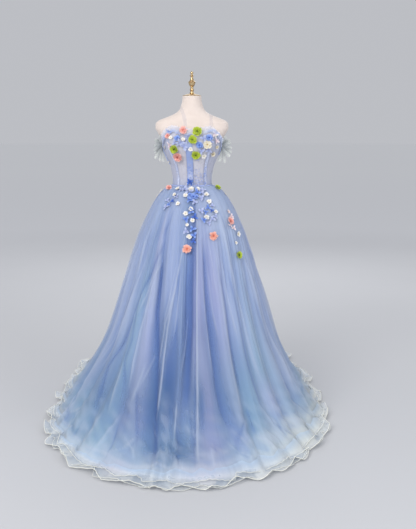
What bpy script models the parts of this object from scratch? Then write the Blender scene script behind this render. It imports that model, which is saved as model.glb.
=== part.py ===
"""A-line prom dress on a limbless dress form with a plain stand.

Metres, +Z up.  Origin: centre of the underside of the stand's round base.
-Y is the dress's front, +Y runs down the train, +X is the viewer's right when facing the front.
"""
import math

import bmesh
import bpy
from mathutils import Vector

# ---------------------------------------------------------------- driving sizes
SEAM = 0.0002            # each piece stops this short of a seam line (0.4 mm between pieces)
TULLE = 0.0015           # wall of a tulle layer
CORSET = 0.0020          # wall of a bodice panel
EASE = 0.0025            # room between the form and the inside of the bodice
BODICE_OUT = EASE + CORSET
BAND_LIFT = 0.0008       # bands lie this far off the panels
BAND = 0.0012            # wall of a band

WAIST_Z = 1.2400
BODICE_FOOT_Z = 1.2408
FORM_TOP_Z = 1.6900
FORM_FOOT_Z = 0.9650
STAND_TOP_Z = FORM_FOOT_Z - 0.0003
BASE_R, BASE_H = 0.180, 0.014
POLE_R = 0.014

# dress form: height, half width, half depth to the front, half depth to the back, squareness
FORM = (
    # z      half   front  back   n
    (0.965, 0.118, 0.076, 0.086, 2.2),
    (0.990, 0.150, 0.097, 0.109, 2.2),
    (1.050, 0.160, 0.104, 0.120, 2.2),
    (1.130, 0.144, 0.098, 0.112, 2.2),
    (1.200, 0.114, 0.086, 0.092, 2.1),
    (1.245, 0.0970, 0.0783, 0.0788, 2.1),
    (1.276, 0.0967, 0.0785, 0.079, 2.1),
    (1.310, 0.1015, 0.083, 0.081, 2.1),
    (1.343, 0.1088, 0.090, 0.083, 2.1),
    (1.368, 0.1195, 0.098, 0.085, 2.15),
    (1.395, 0.1310, 0.106, 0.087, 2.2),
    (1.425, 0.1410, 0.111, 0.089, 2.3),
    (1.460, 0.1460, 0.107, 0.091, 2.4),
    (1.485, 0.1620, 0.095, 0.090, 2.4),
    (1.508, 0.1760, 0.085, 0.087, 2.5),
    (1.530, 0.1860, 0.078, 0.083, 2.5),
    (1.552, 0.1850, 0.072, 0.079, 2.5),
    (1.568, 0.1690, 0.069, 0.076, 2.4),
    (1.580, 0.1400, 0.066, 0.073, 2.3),
    (1.593, 0.1070, 0.062, 0.069, 2.2),
    (1.611, 0.0740, 0.058, 0.064, 2.1),
    (1.630, 0.0600, 0.054, 0.058, 2.0),
    (1.652, 0.0525, 0.051, 0.053, 2.0),
    (1.672, 0.0485, 0.048, 0.050, 2.0),
    (1.690, 0.0480, 0.047, 0.049, 2.0),
)

# bodice top edge: angle round the body from centre front, height
TOP_EDGE = (
    # phi   z
    (0, 1.505),
    (12, 1.513),
    (25, 1.525),
    (38, 1.512),
    (55, 1.487),
    (78, 1.459),
    (95, 1.442),
    (130, 1.428),
    (180, 1.422),
)

# skirt envelope (outer tulle, ridge of the folds):
# height, half width, reach to the front, reach to the back, squareness of the back
SKIRT = (
    # z      half   front  back   n
    (1.2400, 0.1050, 0.0877, 0.0882, 2.0),
    (1.2320, 0.1270, 0.1030, 0.1010, 2.0),
    (1.2150, 0.1490, 0.1200, 0.1180, 2.0),
    (1.1900, 0.1710, 0.1400, 0.1400, 2.0),
    (1.1630, 0.1900, 0.1600, 0.1620, 2.0),
    (1.1110, 0.2190, 0.1900, 0.2000, 2.0),
    (1.0060, 0.2660, 0.2350, 0.2640, 2.0),
    (0.9000, 0.3030, 0.2750, 0.3240, 2.0),
    (0.7930, 0.3370, 0.3120, 0.3860, 2.0),
    (0.6850, 0.3730, 0.3500, 0.4550, 2.05),
    (0.5770, 0.4070, 0.3900, 0.5400, 2.1),
    (0.4670, 0.4460, 0.4350, 0.6400, 2.2),
    (0.3600, 0.4980, 0.4900, 0.7650, 2.35),
    (0.2600, 0.5560, 0.5580, 0.9050, 2.5),
    (0.1700, 0.6120, 0.6350, 1.0600, 2.65),
    (0.1000, 0.6600, 0.7080, 1.2000, 2.8),
    (0.0500, 0.6940, 0.7750, 1.3200, 2.9),
    (0.0200, 0.7160, 0.8350, 1.4050, 3.0),
    (0.0100, 0.7240, 0.8560, 1.4200, 3.0),
)
LEFT_FULL = 1.020                         # the skirt spreads a little more to the left at the floor
RIGHT_HIGH, RIGHT_LOW = 1.020, 0.962

# valleys between the skirt's folds: bearing from centre front at waist, knee and hem (degrees),
# and depth at knee and hem (millimetres)
VALLEYS = (
    # waist  knee   hem  knee_mm hem_mm
    (-164, -163, -165, 16, 46),
    (-147, -147, -149, 18, 52),
    (-130, -131, -132, 16, 44),
    (-113, -114, -115, 18, 42),
    (-97, -98, -98, 15, 34),
    (-80, -82, -81, 17, 38),
    (-65, -66, -65, 14, 30),
    (-51, -51, -50, 19, 34),
    (-43, -41, -34, 9, 18),
    (-37, -30, -15, 24, 30),
    (-17, -13, -10, 12, 16),
    (-3, -4, -4, 22, 30),
    (19, 14, 17, 17, 34),
    (39, 30, 25, 16, 26),
    (55, 41, 37, 14, 24),
    (71, 53, 48, 17, 34),
    (86, 68, 61, 13, 30),
    (101, 86, 77, 17, 40),
    (117, 105, 97, 15, 34),
    (133, 124, 120, 18, 48),
    (148, 144, 141, 15, 44),
    (165, 163, 161, 17, 52),
    (180, 180, 180, 12, 30),
)
FOLDS = len(VALLEYS)

# outer tulle gores: first and last valley of each
GORES = (
    ("skirt_veil_back_left", 22, 27),
    ("skirt_veil_side_left", 4, 7),
    ("skirt_veil_front_left", 7, 11),
    ("skirt_veil_front_right", 11, 15),
    ("skirt_veil_side_right", 15, 18),
    ("skirt_veil_back_right", 18, 22),
)
UNDER_GORES = (
    ("skirt_under_left", 22, 30),
    ("skirt_under_front", 7, 15),
    ("skirt_under_right", 15, 22),
)
FRILLS = (
    ("hem_frill_left", 22, 30),
    ("hem_frill_front", 7, 15),
    ("hem_frill_right", 15, 22),
)
VEIL_ROWS = (1.2400, 1.2310, 1.2000, 1.1200, 0.9800, 0.7800, 0.5600, 0.3600, 0.2000, 0.0850, 0.0100)
UNDER_ROWS = (1.2400, 1.2310, 1.2000, 1.1000, 0.9000, 0.6600, 0.4600, 0.3000, 0.1600, 0.0400)

# colours: red, green, blue, roughness, metallic
COLOURS = {
    "veil": (0.62, 0.66, 0.88, 0.85, 0.0),
    "under": (0.24, 0.36, 0.82, 0.85, 0.0),
    "frill": (0.80, 0.84, 0.86, 0.80, 0.0),
    "bodice": (0.62, 0.66, 0.80, 0.80, 0.0),
    "band": (0.30, 0.42, 0.82, 0.70, 0.0),
    "sheer": (0.82, 0.82, 0.86, 0.85, 0.0),
    "lime": (0.50, 0.58, 0.05, 0.80, 0.0),
    "pink": (0.85, 0.42, 0.40, 0.80, 0.0),
    "white": (0.88, 0.87, 0.84, 0.80, 0.0),
    "blue": (0.22, 0.36, 0.80, 0.80, 0.0),
    "lavender": (0.62, 0.58, 0.82, 0.80, 0.0),
    "form": (0.86, 0.78, 0.72, 0.90, 0.0),
    "brass": (0.62, 0.45, 0.26, 0.35, 1.0),
    "stand": (0.80, 0.79, 0.77, 0.40, 0.0),
    "zip": (0.55, 0.60, 0.78, 0.60, 0.0),
    "zip_metal": (0.70, 0.70, 0.72, 0.30, 1.0),
}


# ---------------------------------------------------------------- helpers
def clear_scene():
    for ob in list(bpy.data.objects):
        bpy.data.objects.remove(ob, do_unlink=True)


def material(key):
    name = "mat_" + key
    mat = bpy.data.materials.get(name) or bpy.data.materials.new(name)
    mat.use_nodes = True
    bsdf = mat.node_tree.nodes["Principled BSDF"]
    r, g, b, rough, metal = COLOURS[key]
    bsdf.inputs["Base Color"].default_value = (r, g, b, 1.0)
    bsdf.inputs["Roughness"].default_value = rough
    bsdf.inputs["Metallic"].default_value = metal
    return mat


def monotone(table, x, col):
    """Smooth value of a table's column at x, without overshoot between its rows."""
    rows = table if table[0][0] < table[-1][0] else table[::-1]
    n = len(rows)
    if x <= rows[0][0]:
        return rows[0][col]
    if x >= rows[-1][0]:
        return rows[-1][col]
    k = 0
    while x > rows[k + 1][0]:
        k += 1

    def secant(i):
        return (rows[i + 1][col] - rows[i][col]) / (rows[i + 1][0] - rows[i][0])

    def slope(i):
        if i == 0 or i == n - 1:
            return secant(0) if i == 0 else secant(n - 2)
        a, b = secant(i - 1), secant(i)
        return 0.0 if a * b <= 0 else 2 * a * b / (a + b)

    h = rows[k + 1][0] - rows[k][0]
    t = (x - rows[k][0]) / h
    a, b = rows[k][col], rows[k + 1][col]
    ma, mb = slope(k) * h, slope(k + 1) * h
    return ((2 * t ** 3 - 3 * t * t + 1) * a + (t ** 3 - 2 * t * t + t) * ma
            + (-2 * t ** 3 + 3 * t * t) * b + (t ** 3 - t * t) * mb)


def smoothstep(a, b, x):
    t = min(1.0, max(0.0, (x - a) / (b - a)))
    return t * t * (3 - 2 * t)


def finish(name, bm, colour, smooth=True):
    """Turn a closed bmesh into a named object with its own material, faces outward."""
    bmesh.ops.recalc_face_normals(bm, faces=bm.faces)
    if bm.calc_volume(signed=True) < 0:
        bmesh.ops.reverse_faces(bm, faces=bm.faces)
    mesh = bpy.data.meshes.new(name)
    bm.to_mesh(mesh)
    bm.free()
    ob = bpy.data.objects.new(name, mesh)
    bpy.context.scene.collection.objects.link(ob)
    mesh.materials.append(material(colour))
    if smooth:
        mesh.shade_smooth()
        mesh.set_sharp_from_angle(angle=math.radians(40))
    return ob


def wall(name, outer, inner, colour):
    """A closed wall between two equal grids of points (rows by columns)."""
    rows, cols = len(outer), len(outer[0])
    bm = bmesh.new()
    vo = [[bm.verts.new(p) for p in row] for row in outer]
    vi = [[bm.verts.new(p) for p in row] for row in inner]

    def quad(a, b, c, d):
        bm.faces.new((a, b, c))
        bm.faces.new((a, c, d))

    for i in range(rows - 1):
        for j in range(cols - 1):
            quad(vo[i][j], vo[i + 1][j], vo[i + 1][j + 1], vo[i][j + 1])
            bm.faces.new((vi[i][j], vi[i + 1][j + 1], vi[i + 1][j]))
            bm.faces.new((vi[i][j], vi[i][j + 1], vi[i + 1][j + 1]))
    for j in range(cols - 1):
        quad(vo[0][j], vo[0][j + 1], vi[0][j + 1], vi[0][j])
        quad(vo[-1][j + 1], vo[-1][j], vi[-1][j], vi[-1][j + 1])
    for i in range(rows - 1):
        quad(vo[i + 1][0], vo[i][0], vi[i][0], vi[i + 1][0])
        quad(vo[i][-1], vo[i + 1][-1], vi[i + 1][-1], vi[i][-1])
    return finish(name, bm, colour)


def turned(name, profile, segments, colour):
    """A solid turned about Z from (radius, height) pairs, first and last on the axis' flat ends."""
    bm = bmesh.new()
    rings = []
    for r, z in profile:
        rings.append([bm.verts.new((r * math.cos(2 * math.pi * k / segments),
                                    r * math.sin(2 * math.pi * k / segments), z))
                      for k in range(segments)])
    for a, b in zip(rings, rings[1:]):
        for k in range(segments):
            m = (k + 1) % segments
            bm.faces.new((a[k], a[m], b[m], b[k]))
    bm.faces.new(rings[0][::-1])
    bm.faces.new(rings[-1])
    return finish(name, bm, colour)


# ---------------------------------------------------------------- body and bodice surfaces
def form_point(phi, z):
    """Point of the dress form at angle phi (degrees, 0 front, + to the right) and height z."""
    a = monotone(FORM, z, 1)
    c, s = math.cos(math.radians(phi)), math.sin(math.radians(phi))
    d = monotone(FORM, z, 2 if c > 0 else 3)
    n = monotone(FORM, z, 4)
    x = a * math.copysign(abs(s) ** (2 / n), s)
    y = -d * math.copysign(abs(c) ** (2 / n), c)
    return Vector((x, y, z))


def cup(phi, z):
    """How far a cup stands off the form."""
    v = 0.0
    for centre in (-38, 38):
        v += math.exp(-((phi - centre) / 21) ** 2 - ((z - 1.440) / 0.046) ** 2)
    return 0.011 * v


def bodice_point(phi, z, lift):
    """Point at a distance outside the form, cups included; lift 0 is the form itself."""
    e = 1.5
    zz = min(z, 1.60)
    p = form_point(phi, zz)
    dphi = form_point(phi + e, zz) - form_point(phi - e, zz)
    dz = form_point(phi, zz + 0.006) - form_point(phi, zz - 0.006)
    n = dphi.cross(dz).normalized()
    if n.dot(Vector((p.x, p.y, 0))) < 0:
        n = -n
    flat = Vector((n.x, n.y, 0.35 * n.z)).normalized()
    return p + flat * (lift + cup(phi, z)) + Vector((0, 0, z - zz))


def top_z(phi):
    a = abs((phi + 180) % 360 - 180)
    return monotone(TOP_EDGE, a, 1)


# ---------------------------------------------------------------- skirt surface
def drop(z):
    return min(1.0, max(0.0, (WAIST_Z - z) / WAIST_Z))


def valley(i, q):
    """Bearing and depth of valley i at drop q, counted on past one turn."""
    turn, k = divmod(i, FOLDS)
    row = VALLEYS[k]
    angle = monotone(((0.0, row[0]), (0.45, row[1]), (1.0, row[2])), q, 1) + 360.0 * turn
    depth = monotone(((0.0, 0.3), (0.06, 1.6), (0.45, row[3]), (1.0, row[4])), q, 1) / 1000
    return angle, depth


def bearing(s, q):
    """Bearing at fold coordinate s (whole numbers are valleys), in degrees."""
    i = math.floor(s)
    f = s - i
    a = [valley(i + k, q)[0] for k in (-1, 0, 1, 2)]
    d = [a[1] - a[0], a[2] - a[1], a[3] - a[2]]
    m0 = 2 * d[0] * d[1] / (d[0] + d[1])
    m1 = 2 * d[1] * d[2] / (d[1] + d[2])
    return ((2 * f ** 3 - 3 * f * f + 1) * a[1] + (f ** 3 - 2 * f * f + f) * m0
            + (-2 * f ** 3 + 3 * f * f) * a[2] + (f ** 3 - f * f) * m1)


def fold_depth(s, q):
    i = math.floor(s)
    f = s - i
    near = valley(i, q)[1] if f < 0.5 else valley(i + 1, q)[1]
    return near * abs(math.cos(math.pi * f)) ** 2.6


def envelope(theta, z):
    """Radius of the skirt's envelope at a bearing and a height."""
    c, s = math.cos(math.radians(theta)), math.sin(math.radians(theta))
    right = RIGHT_LOW + (RIGHT_HIGH - RIGHT_LOW) * smoothstep(0.10, 0.70, z)
    a = monotone(SKIRT, z, 1) * (LEFT_FULL if s < 0 else right)
    d = monotone(SKIRT, z, 2 if c > 0 else 3)
    n = monotone(SKIRT, z, 4)
    if c > 0:
        n = 2.05 if s < 0 else 2.05 - 0.15 * smoothstep(0.40, 0.0, z)
    return ((abs(s) / a) ** n + (abs(c) / d) ** n) ** (-1 / n)


def skirt_point(s, z, inset=0.0, lift=0.0):
    """Point on the outer tulle at fold coordinate s, moved in by inset and up by lift."""
    q = drop(z)
    th = bearing(s, q)
    r = envelope(th, z) - fold_depth(s, q) - inset
    t = math.radians(th)
    return Vector((r * math.sin(t), -r * math.cos(t), z + lift))


def hem_lift(s, z):
    """Folds stand a little off the floor at the hem."""
    f = s - math.floor(s)
    return 0.016 * math.sin(math.pi * f) ** 2 * smoothstep(0.10, 0.01, z)


def ring_normals(grid):
    rows, cols = len(grid), len(grid[0])
    out = []
    for i in range(rows):
        line = []
        for j in range(cols):
            a = grid[max(i - 1, 0)][j]
            b = grid[min(i + 1, rows - 1)][j]
            c = grid[i][(j - 1) % cols]
            d = grid[i][(j + 1) % cols]
            n = (d - c).cross(a - b).normalized()
            p = grid[i][j]
            if n.x * p.x + n.y * p.y < 0:
                n = -n
            line.append(n)
        out.append(line)
    return out


def ring(rows, per_fold, make):
    return [[make(j / per_fold, z) for j in range(FOLDS * per_fold)] for z in rows]


def gore(name, grid, normals, per_fold, first, last, thick, colour):
    """Cut one gore out of a whole ring and give it its wall."""
    total = len(grid[0])
    cols = list(range(first * per_fold, last * per_fold + 1))
    outer, inner = [], []
    for gr, nr in zip(grid, normals):
        o = [gr[c % total].copy() for c in cols]
        n = [nr[c % total] for c in cols]
        start = (o[1] - o[0]).normalized() * SEAM
        end = (o[-2] - o[-1]).normalized() * SEAM
        o[0] += start
        o[-1] += end
        outer.append(o)
        inner.append([p - v * thick for p, v in zip(o, n)])
    return wall(name, outer, inner, colour)


def build_skirt():
    veil = ring(VEIL_ROWS, 4, lambda s, z: skirt_point(s, z, 0.0, hem_lift(s, z)))
    normals = ring_normals(veil)
    for name, first, last in GORES:
        gore(name, veil, normals, 4, first, last, TULLE, "veil")

    # under-skirt: the same folds, moved in along the surface's own direction
    guide = ring(UNDER_ROWS, 2, skirt_point)
    normals = ring_normals(guide)
    under = []
    for z, gr, nr in zip(UNDER_ROWS, guide, normals):
        away = 0.0030 + 0.0150 * smoothstep(1.225, 1.02, z)
        under.append([p - n * away for p, n in zip(gr, nr)])
    for name, first, last in UNDER_GORES:
        gore(name, under, normals, 2, first, last, TULLE, "under")

    # wired frill round the hem: its inner edge follows the veil's hem, its outer edge waves
    def frill_row(k):
        row = []
        for j in range(FOLDS * 4):
            s = j / 4
            z = VEIL_ROWS[-1]
            p = skirt_point(s, z, 0.0, hem_lift(s, z))
            flat = Vector((p.x, p.y, 0)).normalized()
            wave = 1.0 if j % 2 else -1.0
            size = 0.7 + 0.3 * math.sin(2.1 * s) * math.cos(0.7 * s)
            if k == 0:
                row.append(p + flat * 0.0009)
            elif k == 1:
                row.append(p + flat * 0.032 + Vector((0, 0, 0.002 + 0.006 * wave * size)))
            else:
                row.append(p + flat * (0.059 + 0.004 * wave)
                           + Vector((0, 0, 0.006 + 0.014 * wave * size)))
        return row

    frill = [frill_row(0), frill_row(1), frill_row(2)]
    for r in frill:
        for p in r:
            p.z = max(p.z, 0.0062)
    total = FOLDS * 4
    for name, first, last in FRILLS:
        cols = list(range(first * 4, last * 4 + 1))
        outer, inner = [], []
        for r in frill:
            o = [r[c % total].copy() for c in cols]
            o[0] += (o[1] - o[0]).normalized() * SEAM
            o[-1] += (o[-2] - o[-1]).normalized() * SEAM
            outer.append(o)
            inner.append([p - Vector((0, 0, 0.0012)) for p in o])
        wall(name, outer, inner, "frill")


# ---------------------------------------------------------------- dress form and stand
def build_form():
    bm = bmesh.new()
    cols = 24
    rings = []
    levels = [row[0] for row in FORM]
    for z in levels:
        rings.append([bm.verts.new(form_point(360.0 * k / cols, z)) for k in range(cols)])
    for a, b in zip(rings, rings[1:]):
        for k in range(cols):
            m = (k + 1) % cols
            bm.faces.new((a[k], a[m], b[m], b[k]))
    bm.faces.new(rings[0][::-1])
    bm.faces.new(rings[-1])
    bmesh.ops.triangulate(bm, faces=bm.faces)
    finish("form_torso", bm, "form")

    turned("form_neck_cap", ((0.0455, 1.6903), (0.0455, 1.6930), (0.0380, 1.6965), (0.0250, 1.6995),
                             (0.0130, 1.7010)), 20, "brass")
    turned("form_finial", (
        # radius, height
        (0.0110, 1.7013), (0.0115, 1.7070), (0.0088, 1.7150), (0.0100, 1.7260), (0.0075, 1.7320),
        (0.0110, 1.7390), (0.0165, 1.7490), (0.0180, 1.7600), (0.0120, 1.7680), (0.0080, 1.7790),
        (0.0060, 1.7900), (0.0108, 1.7945), (0.0105, 1.7970), (0.0052, 1.8010), (0.0072, 1.8090),
        (0.0065, 1.8150), (0.0030, 1.8190)), 14, "brass")
    turned("stand_pole", ((POLE_R, BASE_H + 0.0286), (POLE_R, STAND_TOP_Z)), 16, "stand")
    turned("stand_base", ((BASE_R - 0.003, 0.0), (BASE_R, 0.003), (BASE_R, BASE_H - 0.004),
                          (BASE_R - 0.004, BASE_H), (0.040, BASE_H + 0.004), (0.026, BASE_H + 0.010),
                          (0.024, BASE_H + 0.0283)), 32, "stand")


# ---------------------------------------------------------------- bodice
PANELS = (
    # name, first and last angle, columns
    ("bodice_front_left", -44, -5, 5),
    ("bodice_front_right", -5, 40, 5),
    ("bodice_side_left", -100, -44, 6),
    ("bodice_side_right", 40, 100, 6),
    ("bodice_back_left", -177.6, -100, 6),
    ("bodice_back_right", 100, 177.6, 6),
)
BODICE_ROWS = (0.0, 0.10, 0.22, 0.36, 0.50, 0.63, 0.76, 0.88, 1.0)


def bodice_z(phi, r, drop_top=0.0):
    return BODICE_FOOT_Z + (top_z(phi) - drop_top - BODICE_FOOT_Z) * r


def build_bodice():
    for name, a, b, cols in PANELS:
        angles = [a + (b - a) * k / cols for k in range(cols + 1)]
        outer = [[bodice_point(p, bodice_z(p, r), BODICE_OUT) for p in angles] for r in BODICE_ROWS]
        inner = [[bodice_point(p, bodice_z(p, r), EASE) for p in angles] for r in BODICE_ROWS]
        for g in (outer, inner):
            for row in g:
                row[0] += (row[1] - row[0]).normalized() * SEAM
                row[-1] += (row[-2] - row[-1]).normalized() * SEAM
        wall(name, outer, inner, "bodice")

    # bands: name, angle at foot, angle at top, half width (mm), last row
    bands = (
        ("band_centre", -5.0, -5.0, 14.0, 9),
        ("band_front_left", -42.5, -45.0, 8.0, 7),
        ("band_front_right", 41.5, 31.0, 8.0, 7),
    )
    for name, foot, head, half, last in bands:
        outer, inner = [], []
        for r in BODICE_ROWS[:last]:
            mid = foot + (head - foot) * min(1.0, r / 0.7)
            w = math.degrees(half / 1000 / 0.105)
            lo, hi = [], []
            for p in (mid - w, mid, mid + w):
                z = bodice_z(p, r, 0.0)
                if r == 0.0:
                    z += 0.0008
                hi.append(bodice_point(p, z, BODICE_OUT + BAND_LIFT + BAND))
                lo.append(bodice_point(p, z, BODICE_OUT + BAND_LIFT))
            outer.append(hi)
            inner.append(lo)
        wall(name, outer, inner, "band")

    # binding along the outer top edge of each cup
    for name, sign in (("cup_binding_left", -1), ("cup_binding_right", 1)):
        outer, inner = [], []
        for r in (0.940, 0.965, 0.990):
            lo, hi = [], []
            for k in range(9):
                p = sign * (24 + (86 - 24) * k / 8)
                z = bodice_z(p, r)
                hi.append(bodice_point(p, z, BODICE_OUT + 0.0042 + BAND))
                lo.append(bodice_point(p, z, BODICE_OUT + 0.0042))
            outer.append(hi)
            inner.append(lo)
        wall(name, outer, inner, "band")

    # gathered frill over the front neckline
    cols = 44
    outer, inner = [], []
    for k, (below, lift) in enumerate(((0.014, 0.0066), (0.001, 0.0086), (-0.012, 0.0105))):
        lo, hi = [], []
        for j in range(cols + 1):
            p = -88 + (84 + 88) * j / cols
            wave = (1.0 if j % 2 else -1.0) * (0.0, 0.0014, 0.0026)[k]
            z = top_z(p) - below + (0.35 * wave if k == 2 else 0.0)
            hi.append(bodice_point(p, z, BODICE_OUT + lift + wave + 0.0012))
            lo.append(bodice_point(p, z, BODICE_OUT + lift + wave))
        outer.append(hi)
        inner.append(lo)
    wall("neckline_frill", outer, inner, "sheer")


def on_form(x, z, back):
    """Point and outward direction on the form at a given x and height, front or back."""
    a = monotone(FORM, z, 1)
    d = monotone(FORM, z, 3 if back else 2)
    n = monotone(FORM, z, 4)
    y = d * max(0.0, 1 - (abs(x) / a) ** n) ** (1 / n)
    p = Vector((x, y if back else -y, z))
    e = 0.0015

    def value(px, py, pz):
        aa = monotone(FORM, pz, 1)
        dd = monotone(FORM, pz, 3 if py > 0 else 2)
        nn = monotone(FORM, pz, 4)
        return (abs(px) / aa) ** nn + (abs(py) / dd) ** nn

    g = Vector((value(p.x + e, p.y, p.z) - value(p.x - e, p.y, p.z),
                value(p.x, p.y + e, p.z) - value(p.x, p.y - e, p.z),
                value(p.x, p.y, p.z + e) - value(p.x, p.y, p.z - e)))
    return p, g.normalized()


def shoulder_z(x):
    """Height at which the form is just wide enough to carry a strap at x."""
    lo, hi = 1.555, 1.680
    for _ in range(30):
        mid = (lo + hi) / 2
        if monotone(FORM, mid, 1) > abs(x) + 0.0015:
            lo = mid
        else:
            hi = mid
    return lo


def build_straps():
    # straps: x at the neckline, on the shoulder and at the back, heights of the two ends
    straps = (
        # name, x_front, z_front, x_top, x_back, z_back
        ("strap_left", -0.034, 1.530, -0.058, -0.085, 1.448),
        ("strap_right", 0.096, 1.536, 0.094, 0.085, 1.448),
    )
    for name, xf, zf, xt, xb, zb in straps:
        zt = shoulder_z(xt)
        path = []
        for k in range(8):
            t = math.sin(math.pi / 2 * k / 7)
            path.append(on_form(xf + (xt - xf) * t ** 2.5, zf + (zt - zf) * t, False))
        for k in range(7, -1, -1):
            t = math.sin(math.pi / 2 * k / 7)
            path.append(on_form(xb + (xt - xb) * t, zb + (zt - zb) * t, True))
        outer, inner = [], []
        for k, (p, n) in enumerate(path):
            before = path[max(k - 1, 0)][0]
            after = path[min(k + 1, len(path) - 1)][0]
            side = (after - before).cross(n).normalized()
            if side.x < 0:
                side = -side
            base = p + n * 0.0042
            outer.append([base + side * w + n * 0.0012 for w in (-0.009, 0.0, 0.009)])
            inner.append([base + side * w for w in (-0.009, 0.0, 0.009)])
        wall(name, outer, inner, "sheer")


# pleated fans at the sides: how far they reach, from their top fold to their lowest
FAN_REACH = (
    # share  left   right
    (0.00, 0.058, 0.056),
    (0.35, 0.040, 0.050),
    (0.60, 0.042, 0.052),
    (1.00, 0.070, 0.070),
)


def build_fans():
    fans = (
        # name, side, first angle, last angle, folds, column of the reach
        ("shoulder_fan_left", -1, 70, -86, 16, 1),
        ("shoulder_fan_right", 1, 66, -88, 16, 2),
    )
    for name, side, first, last, count, column in fans:
        outer, inner = [], []
        for r in (0.10, 0.55, 1.0):
            hi, lo = [], []
            for k in range(count + 1):
                t = k / count
                ang = math.radians(first + (last - first) * t)
                reach = monotone(FAN_REACH, t, column) * (1 + 0.10 * math.sin(2.4 * k))
                zig = (0.009 if k % 2 else -0.009) * r
                root = Vector((side * (0.1555 - 0.004 * t), 0.004 + 0.020 * t, 1.447 - 0.010 * t))
                d = Vector((side * math.cos(ang), 0, math.sin(ang)))
                p = root + d * reach * r + Vector((0, zig + 0.018 * t * r, 0))
                hi.append(p + Vector((0, 0.0006, 0)))
                lo.append(p - Vector((0, 0.0006, 0)))
            outer.append(hi)
            inner.append(lo)
        wall(name, outer, inner, "sheer")


# ---------------------------------------------------------------- back zip
ZIP_TOP_Z = 1.4120


def back_y(z, lift):
    return bodice_point(180, z, lift).y


def box(name, lo, hi, colour):
    bm = bmesh.new()
    bmesh.ops.create_cube(bm, size=1.0)
    for v in bm.verts:
        for a in range(3):
            v.co[a] = lo[a] + (hi[a] - lo[a]) * (v.co[a] + 0.5)
    return finish(name, bm, colour, smooth=False)


def union(target, other):
    mod = target.modifiers.new("join_" + other.name, "BOOLEAN")
    mod.operation = "UNION"
    mod.solver = "EXACT"
    mod.object = other
    other.hide_render = True
    other.display_type = "WIRE"


def build_zip():
    outer, inner = [], []
    for k in range(9):
        z = BODICE_FOOT_Z + 0.001 + (ZIP_TOP_Z + 0.006 - BODICE_FOOT_Z - 0.001) * k / 8
        out_y = back_y(z, BODICE_OUT)
        outer.append([Vector((x, out_y, z)) for x in (-0.0032, 0.0032)])
        inner.append([Vector((x, out_y - CORSET, z)) for x in (-0.0032, 0.0032)])
    wall("zip_tape", outer, inner, "zip")

    face = max(back_y(z, BODICE_OUT) for z in (ZIP_TOP_Z - 0.010, ZIP_TOP_Z - 0.005, ZIP_TOP_Z)) + 0.0004
    top = face + 0.0026
    axis_y = top + 0.0022
    axis_z = ZIP_TOP_Z - 0.0035
    slider = box("zip_slider", (-0.0034, face, ZIP_TOP_Z - 0.011), (0.0034, top, ZIP_TOP_Z), "zip_metal")
    for side in (-1, 1):
        x0, x1 = sorted((side * 0.0023, side * 0.0034))
        ear = box("ear_%d" % side, (x0, top - 0.0006, axis_z - 0.0014), (x1, axis_y + 0.0012, axis_z + 0.0014),
                  "zip_metal")
        union(slider, ear)
    bm = bmesh.new()
    bmesh.ops.create_cone(bm, cap_ends=True, segments=10, radius1=0.0007, radius2=0.0007, depth=0.0058)
    for v in bm.verts:
        v.co = Vector((v.co.z, v.co.x + axis_y, v.co.y + axis_z))
    union(slider, finish("slider_pin", bm, "zip_metal", smooth=False))

    # pull tab: an eye round the pin and a flat tail, extruded along X
    curve = bpy.data.curves.new("zip_pull", "CURVE")
    curve.dimensions = "2D"
    curve.fill_mode = "BOTH"
    curve.extrude = 0.0019
    eye, hole, half = 0.0018, 0.0010, 0.0005
    start = math.asin(half / eye)
    outline = []
    steps = 12
    for k in range(steps + 1):
        a = -math.pi / 2 + start + (2 * math.pi - 2 * start) * k / steps
        outline.append((eye * math.cos(a), eye * math.sin(a)))
    outline += [(-half, -0.0200), (-half * 0.4, -0.0206), (half * 0.4, -0.0206), (half, -0.0200)]
    inside = [(hole * math.cos(2 * math.pi * k / 12), hole * math.sin(2 * math.pi * k / 12)) for k in range(12)]
    for pts in (outline, inside):
        sp = curve.splines.new("POLY")
        sp.points.add(len(pts) - 1)
        for point, (u, v) in zip(sp.points, pts):
            point.co = (u, v, 0, 1)
        sp.use_cyclic_u = True
    tab = bpy.data.objects.new("zip_pull", curve)
    bpy.context.scene.collection.objects.link(tab)
    tab.location = (0, axis_y, axis_z)
    tab.rotation_euler = (math.pi / 2, 0, math.pi / 2)      # local X to world Y, local Y to world Z
    curve.materials.append(material("zip_metal"))


# ---------------------------------------------------------------- flowers
BODICE_FLOWERS = (
    # name, angle, height, lift mm, radius mm, petals, colour
    ("flower_lime_neck", 5, 1.508, 15.5, 21, 6, "lime"),
    ("flower_lime_centre", 0, 1.467, 13.0, 21, 6, "lime"),
    ("flower_lime_left", -32, 1.428, 3.5, 20, 6, "lime"),
    ("flower_lime_low", 6, 1.399, 4.5, 23, 6, "lime"),
    ("flower_pink_left", -28, 1.394, 12.5, 26, 5, "pink"),
    ("flower_pink_neck", -10, 1.514, 15.5, 19, 5, "pink"),
    ("flower_blue_right", 27, 1.480, 4.0, 19, 5, "blue"),
    ("flower_cream_right", 25, 1.447, 12.5, 19, 6, "white"),
    ("flower_blue_centre", 11, 1.446, 3.5, 17, 5, "blue"),
    ("flower_blue_left", -23, 1.477, 3.5, 15, 5, "blue"),
    ("flower_white_low", 23, 1.395, 3.5, 14, 5, "white"),
)
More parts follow.
